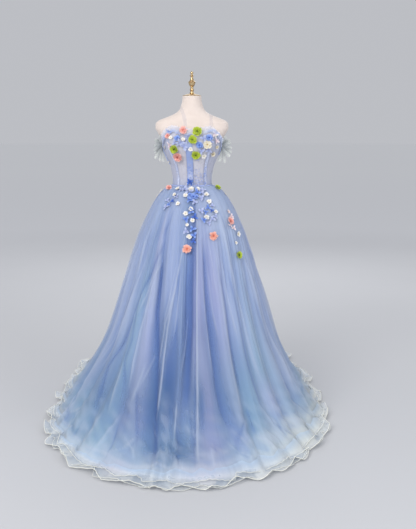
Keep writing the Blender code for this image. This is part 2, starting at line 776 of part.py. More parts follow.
SKIRT_FLOWERS = (
    # name, bearing, height, lift mm, radius mm, petals, colour
    ("flower_waist_white", -3, 1.226, 3.5, 15, 5, "white"),
    ("flower_waist_lavender", 22, 1.220, 3.5, 15, 5, "lavender"),
    ("flower_waist_pink", -66, 1.226, 3.5, 17, 5, "pink"),
    ("flower_waist_lime", 73, 1.224, 3.5, 17, 6, "lime"),
    ("flower_waist_blue", 2, 1.190, 3.5, 19, 5, "blue"),
    ("flower_trail_pink_right", 25, 1.005, 3.5, 20, 5, "pink"),
    ("flower_trail_pink_centre", -6, 0.946, 3.5, 21, 5, "pink"),
    ("flower_trail_pink_side", 55, 1.068, 3.5, 19, 5, "pink"),
    ("flower_trail_lime", 51, 0.903, 3.5, 18, 6, "lime"),
)


def flower(name, centre, normal, radius, petals, colour):
    """A cupped, lobed disc: the outline of a small fabric flower."""
    n = normal.normalized()
    u = Vector((0, 0, 1)).cross(n)
    u = u.normalized() if u.length > 1e-6 else Vector((1, 0, 0))
    w = n.cross(u)
    bm = bmesh.new()
    count = petals * 2
    low, high = [], []
    for k in range(count):
        a = math.pi * 2 * k / count
        r = radius if k % 2 == 0 else radius * 0.72
        rise = radius * (0.26 if k % 2 == 0 else 0.16)
        at = centre + u * (r * math.cos(a)) + w * (r * math.sin(a))
        low.append(bm.verts.new(at + n * rise))
        high.append(bm.verts.new(at + n * (rise + 0.0018)))
    foot = bm.verts.new(centre)
    heart = bm.verts.new(centre + n * (0.0030 + radius * 0.06))
    for k in range(count):
        m = (k + 1) % count
        bm.faces.new((high[k], high[m], heart))
        bm.faces.new((low[m], low[k], foot))
        bm.faces.new((low[k], low[m], high[m]))
        bm.faces.new((low[k], high[m], high[k]))
    return finish(name, bm, colour)


def bodice_normal(phi, z):
    a, b = bodice_point(phi - 3, z, 0.005), bodice_point(phi + 3, z, 0.005)
    c, d = bodice_point(phi, z - 0.01, 0.005), bodice_point(phi, z + 0.01, 0.005)
    n = (b - a).cross(d - c).normalized()
    p = bodice_point(phi, z, 0.005)
    return n if n.dot(Vector((p.x, p.y, 0))) > 0 else -n


def envelope_point(theta, z):
    r = envelope(theta, z)
    t = math.radians(theta)
    return Vector((r * math.sin(t), -r * math.cos(t), z))


def envelope_normal(theta, z):
    a, b = envelope_point(theta - 2, z), envelope_point(theta + 2, z)
    c, d = envelope_point(theta, z - 0.008), envelope_point(theta, z + 0.008)
    n = (b - a).cross(d - c).normalized()
    p = envelope_point(theta, z)
    return n if n.dot(Vector((p.x, p.y, 0))) > 0 else -n


def build_flowers():
    for name, phi, z, lift, radius, petals, colour in BODICE_FLOWERS:
        n = bodice_normal(phi, z)
        flower(name, bodice_point(phi, z, BODICE_OUT) + n * lift / 1000, n, radius / 1000, petals, colour)
    for name, theta, z, lift, radius, petals, colour in SKIRT_FLOWERS:
        n = envelope_normal(theta, z)
        flower(name, envelope_point(theta, z) + n * lift / 1000, n, radius / 1000, petals, colour)


def main():
    clear_scene()
    build_form()
    build_skirt()
    build_bodice()
    build_straps()
    build_fans()
    build_zip()
    build_flowers()


main()
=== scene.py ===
"""Looks of the a-line prom dress on its limbless dress form.

Metres, +Z up, the CAD frame: -Y is the dress's front, +Y runs down the train.
Every cloth piece is a thin sheet on the form of the solid that it replaces.
"""

import math
import random

import bpy
import numpy as np
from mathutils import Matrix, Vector


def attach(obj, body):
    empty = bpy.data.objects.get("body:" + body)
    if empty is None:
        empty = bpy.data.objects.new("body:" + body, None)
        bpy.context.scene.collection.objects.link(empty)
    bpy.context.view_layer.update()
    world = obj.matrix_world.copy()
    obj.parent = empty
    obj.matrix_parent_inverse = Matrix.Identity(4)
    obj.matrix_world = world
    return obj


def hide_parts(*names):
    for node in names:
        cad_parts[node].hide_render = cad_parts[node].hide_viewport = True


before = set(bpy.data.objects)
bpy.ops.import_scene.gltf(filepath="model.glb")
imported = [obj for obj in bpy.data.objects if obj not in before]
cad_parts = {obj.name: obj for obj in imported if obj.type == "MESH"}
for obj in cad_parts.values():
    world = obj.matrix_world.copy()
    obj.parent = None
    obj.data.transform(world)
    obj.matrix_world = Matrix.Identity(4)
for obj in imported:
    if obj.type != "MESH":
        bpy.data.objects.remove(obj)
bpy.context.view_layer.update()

# ---------------------------------------------------------------- sizes shared with the CAD part
EASE = 0.0025
BODICE_OUT = 0.0045
BAND_LIFT = 0.0008
BAND = 0.0012
WAIST_Z = 1.2400
BODICE_FOOT_Z = 1.2408
ZIP_TOP_Z = 1.4120

FORM = (
    # z      half   front  back   n
    (0.965, 0.118, 0.076, 0.086, 2.2),
    (0.990, 0.150, 0.097, 0.109, 2.2),
    (1.050, 0.160, 0.104, 0.120, 2.2),
    (1.130, 0.144, 0.098, 0.112, 2.2),
    (1.200, 0.114, 0.086, 0.092, 2.1),
    (1.245, 0.0970, 0.0783, 0.0788, 2.1),
    (1.276, 0.0967, 0.0785, 0.079, 2.1),
    (1.310, 0.1015, 0.083, 0.081, 2.1),
    (1.343, 0.1088, 0.090, 0.083, 2.1),
    (1.368, 0.1195, 0.098, 0.085, 2.15),
    (1.395, 0.1310, 0.106, 0.087, 2.2),
    (1.425, 0.1410, 0.111, 0.089, 2.3),
    (1.460, 0.1460, 0.107, 0.091, 2.4),
    (1.485, 0.1620, 0.095, 0.090, 2.4),
    (1.508, 0.1760, 0.085, 0.087, 2.5),
    (1.530, 0.1860, 0.078, 0.083, 2.5),
    (1.552, 0.1850, 0.072, 0.079, 2.5),
    (1.568, 0.1690, 0.069, 0.076, 2.4),
    (1.580, 0.1400, 0.066, 0.073, 2.3),
    (1.593, 0.1070, 0.062, 0.069, 2.2),
    (1.611, 0.0740, 0.058, 0.064, 2.1),
    (1.630, 0.0600, 0.054, 0.058, 2.0),
    (1.652, 0.0525, 0.051, 0.053, 2.0),
    (1.672, 0.0485, 0.048, 0.050, 2.0),
    (1.690, 0.0480, 0.047, 0.049, 2.0),
)
TOP_EDGE = (
    # phi   z
    (0, 1.505),
    (12, 1.513),
    (25, 1.525),
    (38, 1.512),
    (55, 1.487),
    (78, 1.459),
    (95, 1.442),
    (130, 1.428),
    (180, 1.422),
)
SKIRT = (
    # z      half   front  back   n
    (1.2400, 0.1050, 0.0877, 0.0882, 2.0),
    (1.2320, 0.1270, 0.1030, 0.1010, 2.0),
    (1.2150, 0.1490, 0.1200, 0.1180, 2.0),
    (1.1900, 0.1710, 0.1400, 0.1400, 2.0),
    (1.1630, 0.1900, 0.1600, 0.1620, 2.0),
    (1.1110, 0.2190, 0.1900, 0.2000, 2.0),
    (1.0060, 0.2660, 0.2350, 0.2640, 2.0),
    (0.9000, 0.3030, 0.2750, 0.3240, 2.0),
    (0.7930, 0.3370, 0.3120, 0.3860, 2.0),
    (0.6850, 0.3730, 0.3500, 0.4550, 2.05),
    (0.5770, 0.4070, 0.3900, 0.5400, 2.1),
    (0.4670, 0.4460, 0.4350, 0.6400, 2.2),
    (0.3600, 0.4980, 0.4900, 0.7650, 2.35),
    (0.2600, 0.5560, 0.5580, 0.9050, 2.5),
    (0.1700, 0.6120, 0.6350, 1.0600, 2.65),
    (0.1000, 0.6600, 0.7080, 1.2000, 2.8),
    (0.0500, 0.6940, 0.7750, 1.3200, 2.9),
    (0.0200, 0.7160, 0.8350, 1.4050, 3.0),
    (0.0100, 0.7240, 0.8560, 1.4200, 3.0),
)
LEFT_FULL = 1.020
RIGHT_HIGH, RIGHT_LOW = 1.020, 0.962
VALLEYS = (
    # waist  knee   hem  knee_mm hem_mm
    (-164, -163, -165, 16, 46),
    (-147, -147, -149, 18, 52),
    (-130, -131, -132, 16, 44),
    (-113, -114, -115, 18, 42),
    (-97, -98, -98, 15, 34),
    (-80, -82, -81, 17, 38),
    (-65, -66, -65, 14, 30),
    (-51, -51, -50, 19, 34),
    (-43, -41, -34, 9, 18),
    (-37, -30, -15, 24, 30),
    (-17, -13, -10, 12, 16),
    (-3, -4, -4, 22, 30),
    (19, 14, 17, 17, 34),
    (39, 30, 25, 16, 26),
    (55, 41, 37, 14, 24),
    (71, 53, 48, 17, 34),
    (86, 68, 61, 13, 30),
    (101, 86, 77, 17, 40),
    (117, 105, 97, 15, 34),
    (133, 124, 120, 18, 48),
    (148, 144, 141, 15, 44),
    (165, 163, 161, 17, 52),
    (180, 180, 180, 12, 30),
)
FOLDS = len(VALLEYS)
GORES = (
    # name, first and last valley
    ("back_left", 22, 27),
    ("side_left", 4, 7),
    ("front_left", 7, 11),
    ("front_right", 11, 15),
    ("side_right", 15, 18),
    ("back_right", 18, 22),
)
THIRDS = (
    ("left", 22, 30),
    ("front", 7, 15),
    ("right", 15, 22),
)

# how much each fold leans to lilac, to aqua and to a pale tone (fold i lies between valleys i and i + 1)
FOLD_TONES = (
    # lilac aqua pale
    (0.4, 0.3, 0.2), (0.6, 0.1, 0.1), (0.2, 0.5, 0.3), (0.5, 0.2, 0.2), (0.3, 0.5, 0.2), (0.5, 0.2, 0.3),
    (0.2, 0.4, 0.3),
    (0.2, 0.8, 0.2), (0.9, 0.0, 0.2), (0.45, 0.1, 0.35), (0.0, 0.1, 0.0), (0.75, 0.0, 0.25), (0.8, 0.1, 0.3),
    (0.3, 0.3, 0.5), (0.2, 0.8, 0.3),
    (0.5, 0.5, 0.4), (0.6, 0.3, 0.4), (0.4, 0.3, 0.2), (0.2, 0.6, 0.2), (0.6, 0.2, 0.1), (0.3, 0.4, 0.3),
    (0.5, 0.2, 0.2), (0.3, 0.3, 0.2),
)


# ---------------------------------------------------------------- small maths
def monotone(table, x, col):
    """Smooth value of a table's column at x, without overshoot between its rows."""
    rows = table if table[0][0] < table[-1][0] else table[::-1]
    n = len(rows)
    if x <= rows[0][0]:
        return rows[0][col]
    if x >= rows[-1][0]:
        return rows[-1][col]
    k = 0
    while x > rows[k + 1][0]:
        k += 1

    def secant(i):
        return (rows[i + 1][col] - rows[i][col]) / (rows[i + 1][0] - rows[i][0])

    def slope(i):
        if i == 0 or i == n - 1:
            return secant(0) if i == 0 else secant(n - 2)
        a, b = secant(i - 1), secant(i)
        return 0.0 if a * b <= 0 else 2 * a * b / (a + b)

    h = rows[k + 1][0] - rows[k][0]
    t = (x - rows[k][0]) / h
    a, b = rows[k][col], rows[k + 1][col]
    ma, mb = slope(k) * h, slope(k + 1) * h
    return ((2 * t ** 3 - 3 * t * t + 1) * a + (t ** 3 - 2 * t * t + t) * ma
            + (-2 * t ** 3 + 3 * t * t) * b + (t ** 3 - t * t) * mb)


def smoothstep(a, b, x):
    t = np.clip((np.asarray(x, float) - a) / (b - a), 0.0, 1.0)
    return t * t * (3 - 2 * t)


def step(a, b, x):
    return float(smoothstep(a, b, x))


def colour(r, g, b):
    """A colour given as it looks on a screen, 0 to 255, in Blender's linear numbers."""
    return tuple(((c / 255 + 0.055) / 1.055) ** 2.4 if c > 10 else c / 255 / 12.92 for c in (r, g, b))


def blend_colours(a, b, t):
    t = np.clip(np.asarray(t, float), 0, 1)[..., None]
    return np.asarray(a) * (1 - t) + np.asarray(b) * t


# ---------------------------------------------------------------- materials
class Shader:
    """One Principled material and short ways to add nodes to it."""

    def __init__(self, name, rough=0.8, alpha=1.0, metal=0.0, sheen=0.0, sheen_rough=0.5, specular=0.3, base=(0.8,) * 3):
        self.mat = bpy.data.materials.new(name)
        self.mat.use_nodes = True
        self.tree = self.mat.node_tree
        self.out = self.tree.nodes["Principled BSDF"]
        s = self.out.inputs
        s["Base Color"].default_value = (*base, 1)
        s["Roughness"].default_value = rough
        s["Alpha"].default_value = alpha
        s["Metallic"].default_value = metal
        s["Sheen Weight"].default_value = sheen
        s["Sheen Roughness"].default_value = sheen_rough
        s["Specular IOR Level"].default_value = specular

    def add(self, kind, **values):
        node = self.tree.nodes.new(kind)
        for k, v in values.items():
            if k in node.inputs:
                node.inputs[k].default_value = v
            else:
                setattr(node, k, v)
        return node

    def link(self, a, b):
        self.tree.links.new(a, b)
        return b

    def attribute(self, name):
        return self.add("ShaderNodeAttribute", attribute_name=name)

    def ramp(self, factor, stops):
        node = self.add("ShaderNodeValToRGB")
        els = node.color_ramp.elements
        while len(els) < len(stops):
            els.new(0.5)
        for el, (pos, col) in zip(els, stops):
            el.position = pos
            el.color = (*col, 1)
        self.link(factor, node.inputs["Fac"])
        return node.outputs["Color"]

    def mix(self, factor, a, b, how="MIX"):
        node = self.add("ShaderNodeMix", data_type="RGBA", blend_type=how)
        if isinstance(factor, (int, float)):
            node.inputs[0].default_value = factor
        else:
            self.link(factor, node.inputs[0])
        for socket, value in ((node.inputs[6], a), (node.inputs[7], b)):
            if isinstance(value, tuple):
                socket.default_value = (*value, 1)
            else:
                self.link(value, socket)
        return node.outputs[2]

    def maths(self, how, a, b=0.0, c=0.0):
        node = self.add("ShaderNodeMath", operation=how)
        for i, value in enumerate((a, b, c)):
            if isinstance(value, (int, float)):
                node.inputs[i].default_value = value
            else:
                self.link(value, node.inputs[i])
        return node.outputs[0]

    def position(self, scale):
        coords = self.add("ShaderNodeTexCoord")
        node = self.add("ShaderNodeMapping")
        node.inputs["Scale"].default_value = scale
        self.link(coords.outputs["Object"], node.inputs["Vector"])
        return node.outputs["Vector"]

    def scaled(self, vector, scale):
        node = self.add("ShaderNodeMapping")
        node.inputs["Scale"].default_value = scale
        self.link(vector, node.inputs["Vector"])
        return node.outputs["Vector"]

    def noise(self, vector, scale=1.0, detail=3.0, rough=0.5):
        node = self.add("ShaderNodeTexNoise", Scale=scale, Detail=detail, Roughness=rough)
        self.link(vector, node.inputs["Vector"])
        return node.outputs["Fac"]

    def cells(self, vector, scale=1.0, feature="DISTANCE_TO_EDGE"):
        node = self.add("ShaderNodeTexVoronoi", feature=feature, Scale=scale)
        self.link(vector, node.inputs["Vector"])
        return node.outputs["Distance"]

    def bump(self, height, strength=0.3, distance=0.001, before=None):
        node = self.add("ShaderNodeBump", Strength=strength, Distance=distance)
        self.link(height, node.inputs["Height"])
        if before is not None:
            self.link(before, node.inputs["Normal"])
        return node.outputs["Normal"]

    def finish(self, base=None, rough=None, normal=None):
        if base is not None:
            self.link(base, self.out.inputs["Base Color"])
        if rough is not None:
            self.link(rough, self.out.inputs["Roughness"])
        if normal is not None:
            self.link(normal, self.out.inputs["Normal"])
        return self.mat


def tulle(name, alpha, streak, rough=0.85, sheen=0.35, mesh_scale=700.0):
    """Fine net: colour from the sheet's own tint, streaks along the folds, and a small mesh in the bump."""
    m = Shader(name, rough=rough, alpha=alpha, sheen=sheen, sheen_rough=0.45, specular=0.2)
    tint = m.attribute("tint").outputs["Color"]
    cloth = m.attribute("cloth").outputs["Vector"]
    wide = m.noise(m.scaled(cloth, (5.0, 1.6, 1.0)), 1.0, 3.0, 0.55)
    fine = m.noise(m.scaled(cloth, (34.0, 2.2, 1.0)), 1.0, 4.0, 0.6)
    both = m.maths("ADD", m.maths("MULTIPLY", wide, 0.45), m.maths("MULTIPLY", fine, 0.55))
    low, high = 1.0 - streak, 1.0 + streak * 0.55
    shade = m.ramp(both, ((0.30, (low, low, low * 1.015)), (0.50, (1.0, 1.0, 1.0)), (0.72, (high, high, high))))
    base = m.mix(1.0, tint, shade, "MULTIPLY")
    net = m.noise(m.position((1, 1, 1)), mesh_scale, 1.0, 0.5)
    first = m.bump(net, 0.08, 0.0003)
    second = m.bump(fine, 0.30, 0.004, first)
    return m.finish(base=base, normal=second)


def petal_cloth(name, stops, rough=0.75, sheen=0.25):
    m = Shader(name, rough=rough, sheen=sheen, specular=0.25)
    t = m.attribute("petal").outputs["Fac"]
    mottled = m.noise(m.position((1, 1, 1)), 260.0, 3.0, 0.6)
    shifted = m.maths("ADD", t, m.maths("MULTIPLY", m.maths("SUBTRACT", mottled, 0.5), 0.25))
    base = m.ramp(shifted, stops)
    grain = m.noise(m.position((1, 1, 1)), 1400.0, 2.0, 0.5)
    return m.finish(base=base, normal=m.bump(grain, 0.25, 0.0005))


def woven(name, tone, dark, scale=900.0, rough=0.8, alpha=1.0, sheen=0.2, specular=0.25, tinted=False):
    """Plain weave cloth with a little unevenness in colour."""
    m = Shader(name, rough=rough, alpha=alpha, sheen=sheen, specular=specular)
    v = m.position((1, 1, 1))
    cloud = m.noise(v, 14.0, 3.0, 0.55)
    base = m.ramp(cloud, ((0.25, dark), (0.7, tone)))
    if tinted:
        base = m.mix(1.0, m.attribute("tint").outputs["Color"], base, "MULTIPLY")
    weave = m.cells(v, scale)
    soft = m.noise(v, 240.0, 2.0, 0.5)
    n = m.bump(weave, 0.3, 0.0004)
    n = m.bump(soft, 0.12, 0.001, n)
    worn = m.ramp(soft, ((0.3, (rough - 0.08,) * 3), (0.7, (min(1.0, rough + 0.06),) * 3)))
    return m.finish(base=base, rough=worn, normal=n)


def metal(name, tone, dark, rough=0.3, scale=60.0):
    m = Shader(name, rough=rough, metal=1.0, base=tone)
    v = m.position((1, 1, 1))
    cloud = m.noise(v, scale, 4.0, 0.6)
    base = m.ramp(cloud, ((0.3, dark), (0.62, tone)))
    r = m.ramp(cloud, ((0.3, (rough + 0.15,) * 3), (0.7, (rough - 0.06,) * 3)))
    fine = m.noise(v, scale * 20, 2.0, 0.5)
    return m.finish(base=base, rough=r, normal=m.bump(fine, 0.12, 0.0003))


# ---------------------------------------------------------------- mesh helpers
def new_object(name, verts, faces, mats, face_mats=None, smooth=True, body="dress"):
    me = bpy.data.meshes.new(name)
    me.from_pydata(verts, [], faces)
    for m in mats:
        me.materials.append(m)
    if face_mats is not None:
        me.polygons.foreach_set("material_index", face_mats)
    if smooth:
        me.shade_smooth()
    me.update()
    ob = bpy.data.objects.new(name, me)
    bpy.context.scene.collection.objects.link(ob)
    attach(ob, body)
    return ob


def set_float(ob, name, values):
    a = ob.data.attributes.new(name, "FLOAT", "POINT")
    a.data.foreach_set("value", np.asarray(values, np.float32).ravel())


def set_vector(ob, name, values):
    a = ob.data.attributes.new(name, "FLOAT_VECTOR", "POINT")
    a.data.foreach_set("vector", np.asarray(values, np.float32).ravel())


def set_colour(ob, name, values):
    v = np.asarray(values, np.float32).reshape(-1, 3)
    a = ob.data.attributes.new(name, "FLOAT_COLOR", "POINT")
    a.data.foreach_set("color", np.concatenate([v, np.ones((len(v), 1), np.float32)], 1).ravel())


def grid_faces(rows, cols, closed=False, offset=0):
    span = cols if closed else cols - 1
    i, j = np.meshgrid(np.arange(rows - 1), np.arange(span), indexing="ij")
    k = (j + 1) % cols
    a, b, c, d = i * cols + j, (i + 1) * cols + j, (i + 1) * cols + k, i * cols + k
    return (np.stack([a, b, c, d], -1).reshape(-1, 4) + offset).tolist()


def sheet_object(name, grid, mat, tint=None, cloth=None, closed=False):
    grid = np.asarray(grid, float)
    rows, cols = grid.shape[:2]
    ob = new_object(name, grid.reshape(-1, 3).tolist(), grid_faces(rows, cols, closed), [mat])
    if tint is not None:
        set_colour(ob, "tint", tint)
    if cloth is not None:
        set_vector(ob, "cloth", cloth)
    return ob


def wall_object(name, outer, inner, mat, tint=None):
    """A closed wall between two equal grids."""
    outer, inner = np.asarray(outer, float), np.asarray(inner, float)
    rows, cols = outer.shape[:2]
    n = rows * cols
    faces = grid_faces(rows, cols) + [f[::-1] for f in grid_faces(rows, cols, offset=n)]
    rim = ([i * cols for i in range(rows)] + [(rows - 1) * cols + j for j in range(1, cols)]
           + [i * cols + cols - 1 for i in range(rows - 2, -1, -1)] + list(range(cols - 2, 0, -1)))
    for a, b in zip(rim, rim[1:] + rim[:1]):
        faces.append([b, a, a + n, b + n])
    ob = new_object(name, np.concatenate([outer.reshape(-1, 3), inner.reshape(-1, 3)]).tolist(), faces, [mat])
    if tint is not None:
        t = np.asarray(tint, float).reshape(-1, 3)
        set_colour(ob, "tint", np.concatenate([t, t]))
    return ob


def declare(ob, grid):
    """Works out a sheet's longest row and column laid flat and rounds them up; they are not stored, and the object
    comes back as it was.
    """
    g = np.asarray(grid, float)
    across = np.linalg.norm(np.diff(g, axis=1), axis=2).sum(1).max()
    down = np.linalg.norm(np.diff(g, axis=0), axis=2).sum(0).max()
    across, down = math.ceil(across * 1e4) / 1e4, math.ceil(down * 1e4) / 1e4
    return ob


def tube(path, radius, sides=6, closed=False):
    """Vertices and faces of a thin round cord along a path, for edges and stitches."""
    p = np.asarray(path, float)
    if closed:
        d = np.roll(p, -1, 0) - np.roll(p, 1, 0)
    else:
        d = np.gradient(p, axis=0)
    d /= np.linalg.norm(d, axis=1)[:, None] + 1e-12
    up = np.tile(np.array([0.13, 0.21, 0.97]), (len(p), 1))
    a = np.cross(d, up)
    a /= np.linalg.norm(a, axis=1)[:, None] + 1e-12
    b = np.cross(a, d)
    ang = np.arange(sides) * 2 * math.pi / sides
    ring = (p[:, None] + radius * (np.cos(ang)[None, :, None] * a[:, None] + np.sin(ang)[None, :, None] * b[:, None]))
    faces = []
    n = len(p)
    for i in range(n if closed else n - 1):
        m = (i + 1) % n
        for k in range(sides):
            h = (k + 1) % sides
            faces.append([i * sides + k, i * sides + h, m * sides + h, m * sides + k])
    if not closed:
        faces.append(list(range(sides))[::-1])
        faces.append([(n - 1) * sides + k for k in range(sides)])
    return ring.reshape(-1, 3), faces


def joined(name, parts, mats, floats=None, smooth=True):
    """One object from many (vertices, faces, material index, petal value) bits."""
    verts, faces, fm, val = [], [], [], []
    at = 0
    for v, f, m, t in parts:
        v = np.asarray(v, float)
        verts.append(v)
        faces.extend([[k + at for k in q] for q in f])
        fm.extend([m] * len(f))
        val.append(np.broadcast_to(np.asarray(t, float), (len(v),)))
        at += len(v)
    ob = new_object(name, np.concatenate(verts).tolist(), faces, mats, fm, smooth=smooth)
    set_float(ob, "petal", np.concatenate(val))
    return ob


# ---------------------------------------------------------------- body and bodice surfaces
def form_point(phi, z):
    a = monotone(FORM, z, 1)
    c, s = math.cos(math.radians(phi)), math.sin(math.radians(phi))
    d = monotone(FORM, z, 2 if c > 0 else 3)
    n = monotone(FORM, z, 4)
    return Vector((a * math.copysign(abs(s) ** (2 / n), s), -d * math.copysign(abs(c) ** (2 / n), c), z))


def cup(phi, z):
    v = 0.0
    for centre in (-38, 38):
        v += math.exp(-((phi - centre) / 21) ** 2 - ((z - 1.440) / 0.046) ** 2)
    return 0.011 * v


def bodice_frame(phi, z):
    """Foot on the form and the direction in which the bodice's layers stand off it."""
    e, zz = 1.5, min(z, 1.60)
    p = form_point(phi, zz)
    dphi = form_point(phi + e, zz) - form_point(phi - e, zz)
    dz = form_point(phi, zz + 0.006) - form_point(phi, zz - 0.006)
    n = dphi.cross(dz).normalized()
    if n.dot(Vector((p.x, p.y, 0))) < 0:
        n = -n
    return p + Vector((0, 0, z - zz)), Vector((n.x, n.y, 0.35 * n.z)).normalized()


def bodice_point(phi, z, lift):
    p, n = bodice_frame(phi, z)
    return p + n * (lift + cup(phi, z))


def top_z(phi):
    return monotone(TOP_EDGE, abs((phi + 180) % 360 - 180), 1)


def bodice_z(phi, r):
    return BODICE_FOOT_Z + (top_z(phi) - BODICE_FOOT_Z) * r


def bodice_normal(phi, z):
    a, b = bodice_point(phi - 3, z, 0.005), bodice_point(phi + 3, z, 0.005)
    c, d = bodice_point(phi, z - 0.01, 0.005), bodice_point(phi, z + 0.01, 0.005)
    n = (b - a).cross(d - c).normalized()
    p = bodice_point(phi, z, 0.005)
    return n if n.dot(Vector((p.x, p.y, 0))) > 0 else -n


# ---------------------------------------------------------------- skirt surface, worked out once on a fine height scale
HEIGHTS = np.linspace(0.0, WAIST_Z, 1241)


def column(fn):
    return np.array([fn(z) for z in HEIGHTS])


def drop(z):
    return min(1.0, max(0.0, (WAIST_Z - z) / WAIST_Z))


HALF = column(lambda z: monotone(SKIRT, z, 1))
FRONT = column(lambda z: monotone(SKIRT, z, 2))
BACK = column(lambda z: monotone(SKIRT, z, 3))
BACK_N = column(lambda z: monotone(SKIRT, z, 4))
ANGLES = np.array([column(lambda z, r=r: monotone(((0.0, r[0]), (0.45, r[1]), (1.0, r[2])), drop(z), 1))
                   for r in VALLEYS])
DEPTHS = np.array([column(lambda z, r=r: monotone(((0.0, 0.3), (0.06, 1.6), (0.45, r[3]), (1.0, r[4])),
                                                  drop(z), 1)) for r in VALLEYS]) / 1000


def at_height(table, z):
    return np.interp(z, HEIGHTS, table)


def at_valley(table, k, z):
    x = np.clip(z / HEIGHTS[1], 0, len(HEIGHTS) - 1.001)
    lo = x.astype(int)
    f = x - lo
    return table[k, lo] * (1 - f) + table[k, lo + 1] * f


def envelope(theta, z):
    """Radius of the skirt's outline at bearings in degrees and heights (arrays)."""
    t = np.radians(theta)
    c, s = np.cos(t), np.sin(t)
    right = RIGHT_LOW + (RIGHT_HIGH - RIGHT_LOW) * smoothstep(0.10, 0.70, z)
    a = at_height(HALF, z) * np.where(s < 0, LEFT_FULL, right)
    d = np.where(c > 0, at_height(FRONT, z), at_height(BACK, z))
    front_n = np.where(s < 0, 2.05, 2.05 - 0.15 * smoothstep(0.40, 0.0, z))
    n = np.where(c > 0, front_n, at_height(BACK_N, z))
    return ((np.abs(s) / a) ** n + (np.abs(c) / d) ** n) ** (-1 / n)


def skirt_surface(S, Z):
    """Points, fold depth (1 in a valley) and bearing of the outer tulle for arrays of fold coordinate and height."""
    S, Z = np.broadcast_arrays(np.asarray(S, float), np.asarray(Z, float))
    base = np.floor(S + 1e-9).astype(int)
    f = S - base

    def angle(k):
        return at_valley(ANGLES, (base + k) % FOLDS, Z) + 360.0 * ((base + k) // FOLDS)

    a0, a1, a2, a3 = angle(-1), angle(0), angle(1), angle(2)
    d0, d1, d2 = a1 - a0, a2 - a1, a3 - a2
    m0, m1 = 2 * d0 * d1 / (d0 + d1), 2 * d1 * d2 / (d1 + d2)
    theta = ((2 * f ** 3 - 3 * f * f + 1) * a1 + (f ** 3 - 2 * f * f + f) * m0
             + (-2 * f ** 3 + 3 * f * f) * a2 + (f ** 3 - f * f) * m1)
    near = np.where(f < 0.5, at_valley(DEPTHS, base % FOLDS, Z), at_valley(DEPTHS, (base + 1) % FOLDS, Z))
    deep = np.abs(np.cos(np.pi * f)) ** 2.6
    r = envelope(theta, Z) - near * deep
    t = np.radians(theta)
    lift = 0.016 * np.sin(np.pi * f) ** 2 * smoothstep(0.10, 0.01, Z)
    P = np.stack([r * np.sin(t), -r * np.cos(t), Z + lift], -1)
    return P, deep, theta


def normals(P):
    n = np.cross(np.gradient(P, axis=0), np.gradient(P, axis=1))
    n /= np.linalg.norm(n, axis=2)[..., None] + 1e-12
    if (n[..., 0] * P[..., 0] + n[..., 1] * P[..., 1]).mean() < 0:
        n = -n
    return n


def levels(count, top=WAIST_Z, bottom=0.010):
    """Heights that are evenly spaced along the skirt's slope."""
    z = np.linspace(top, bottom, 1500)
    slope = 0.45 * np.abs(np.gradient(at_height(BACK, z))) + 0.55 * np.abs(np.gradient(at_height(FRONT, z)))
    length = np.concatenate([[0], np.cumsum(np.hypot(np.diff(z), slope[1:]))])
    return np.interp(np.linspace(0, length[-1], count), length, z)
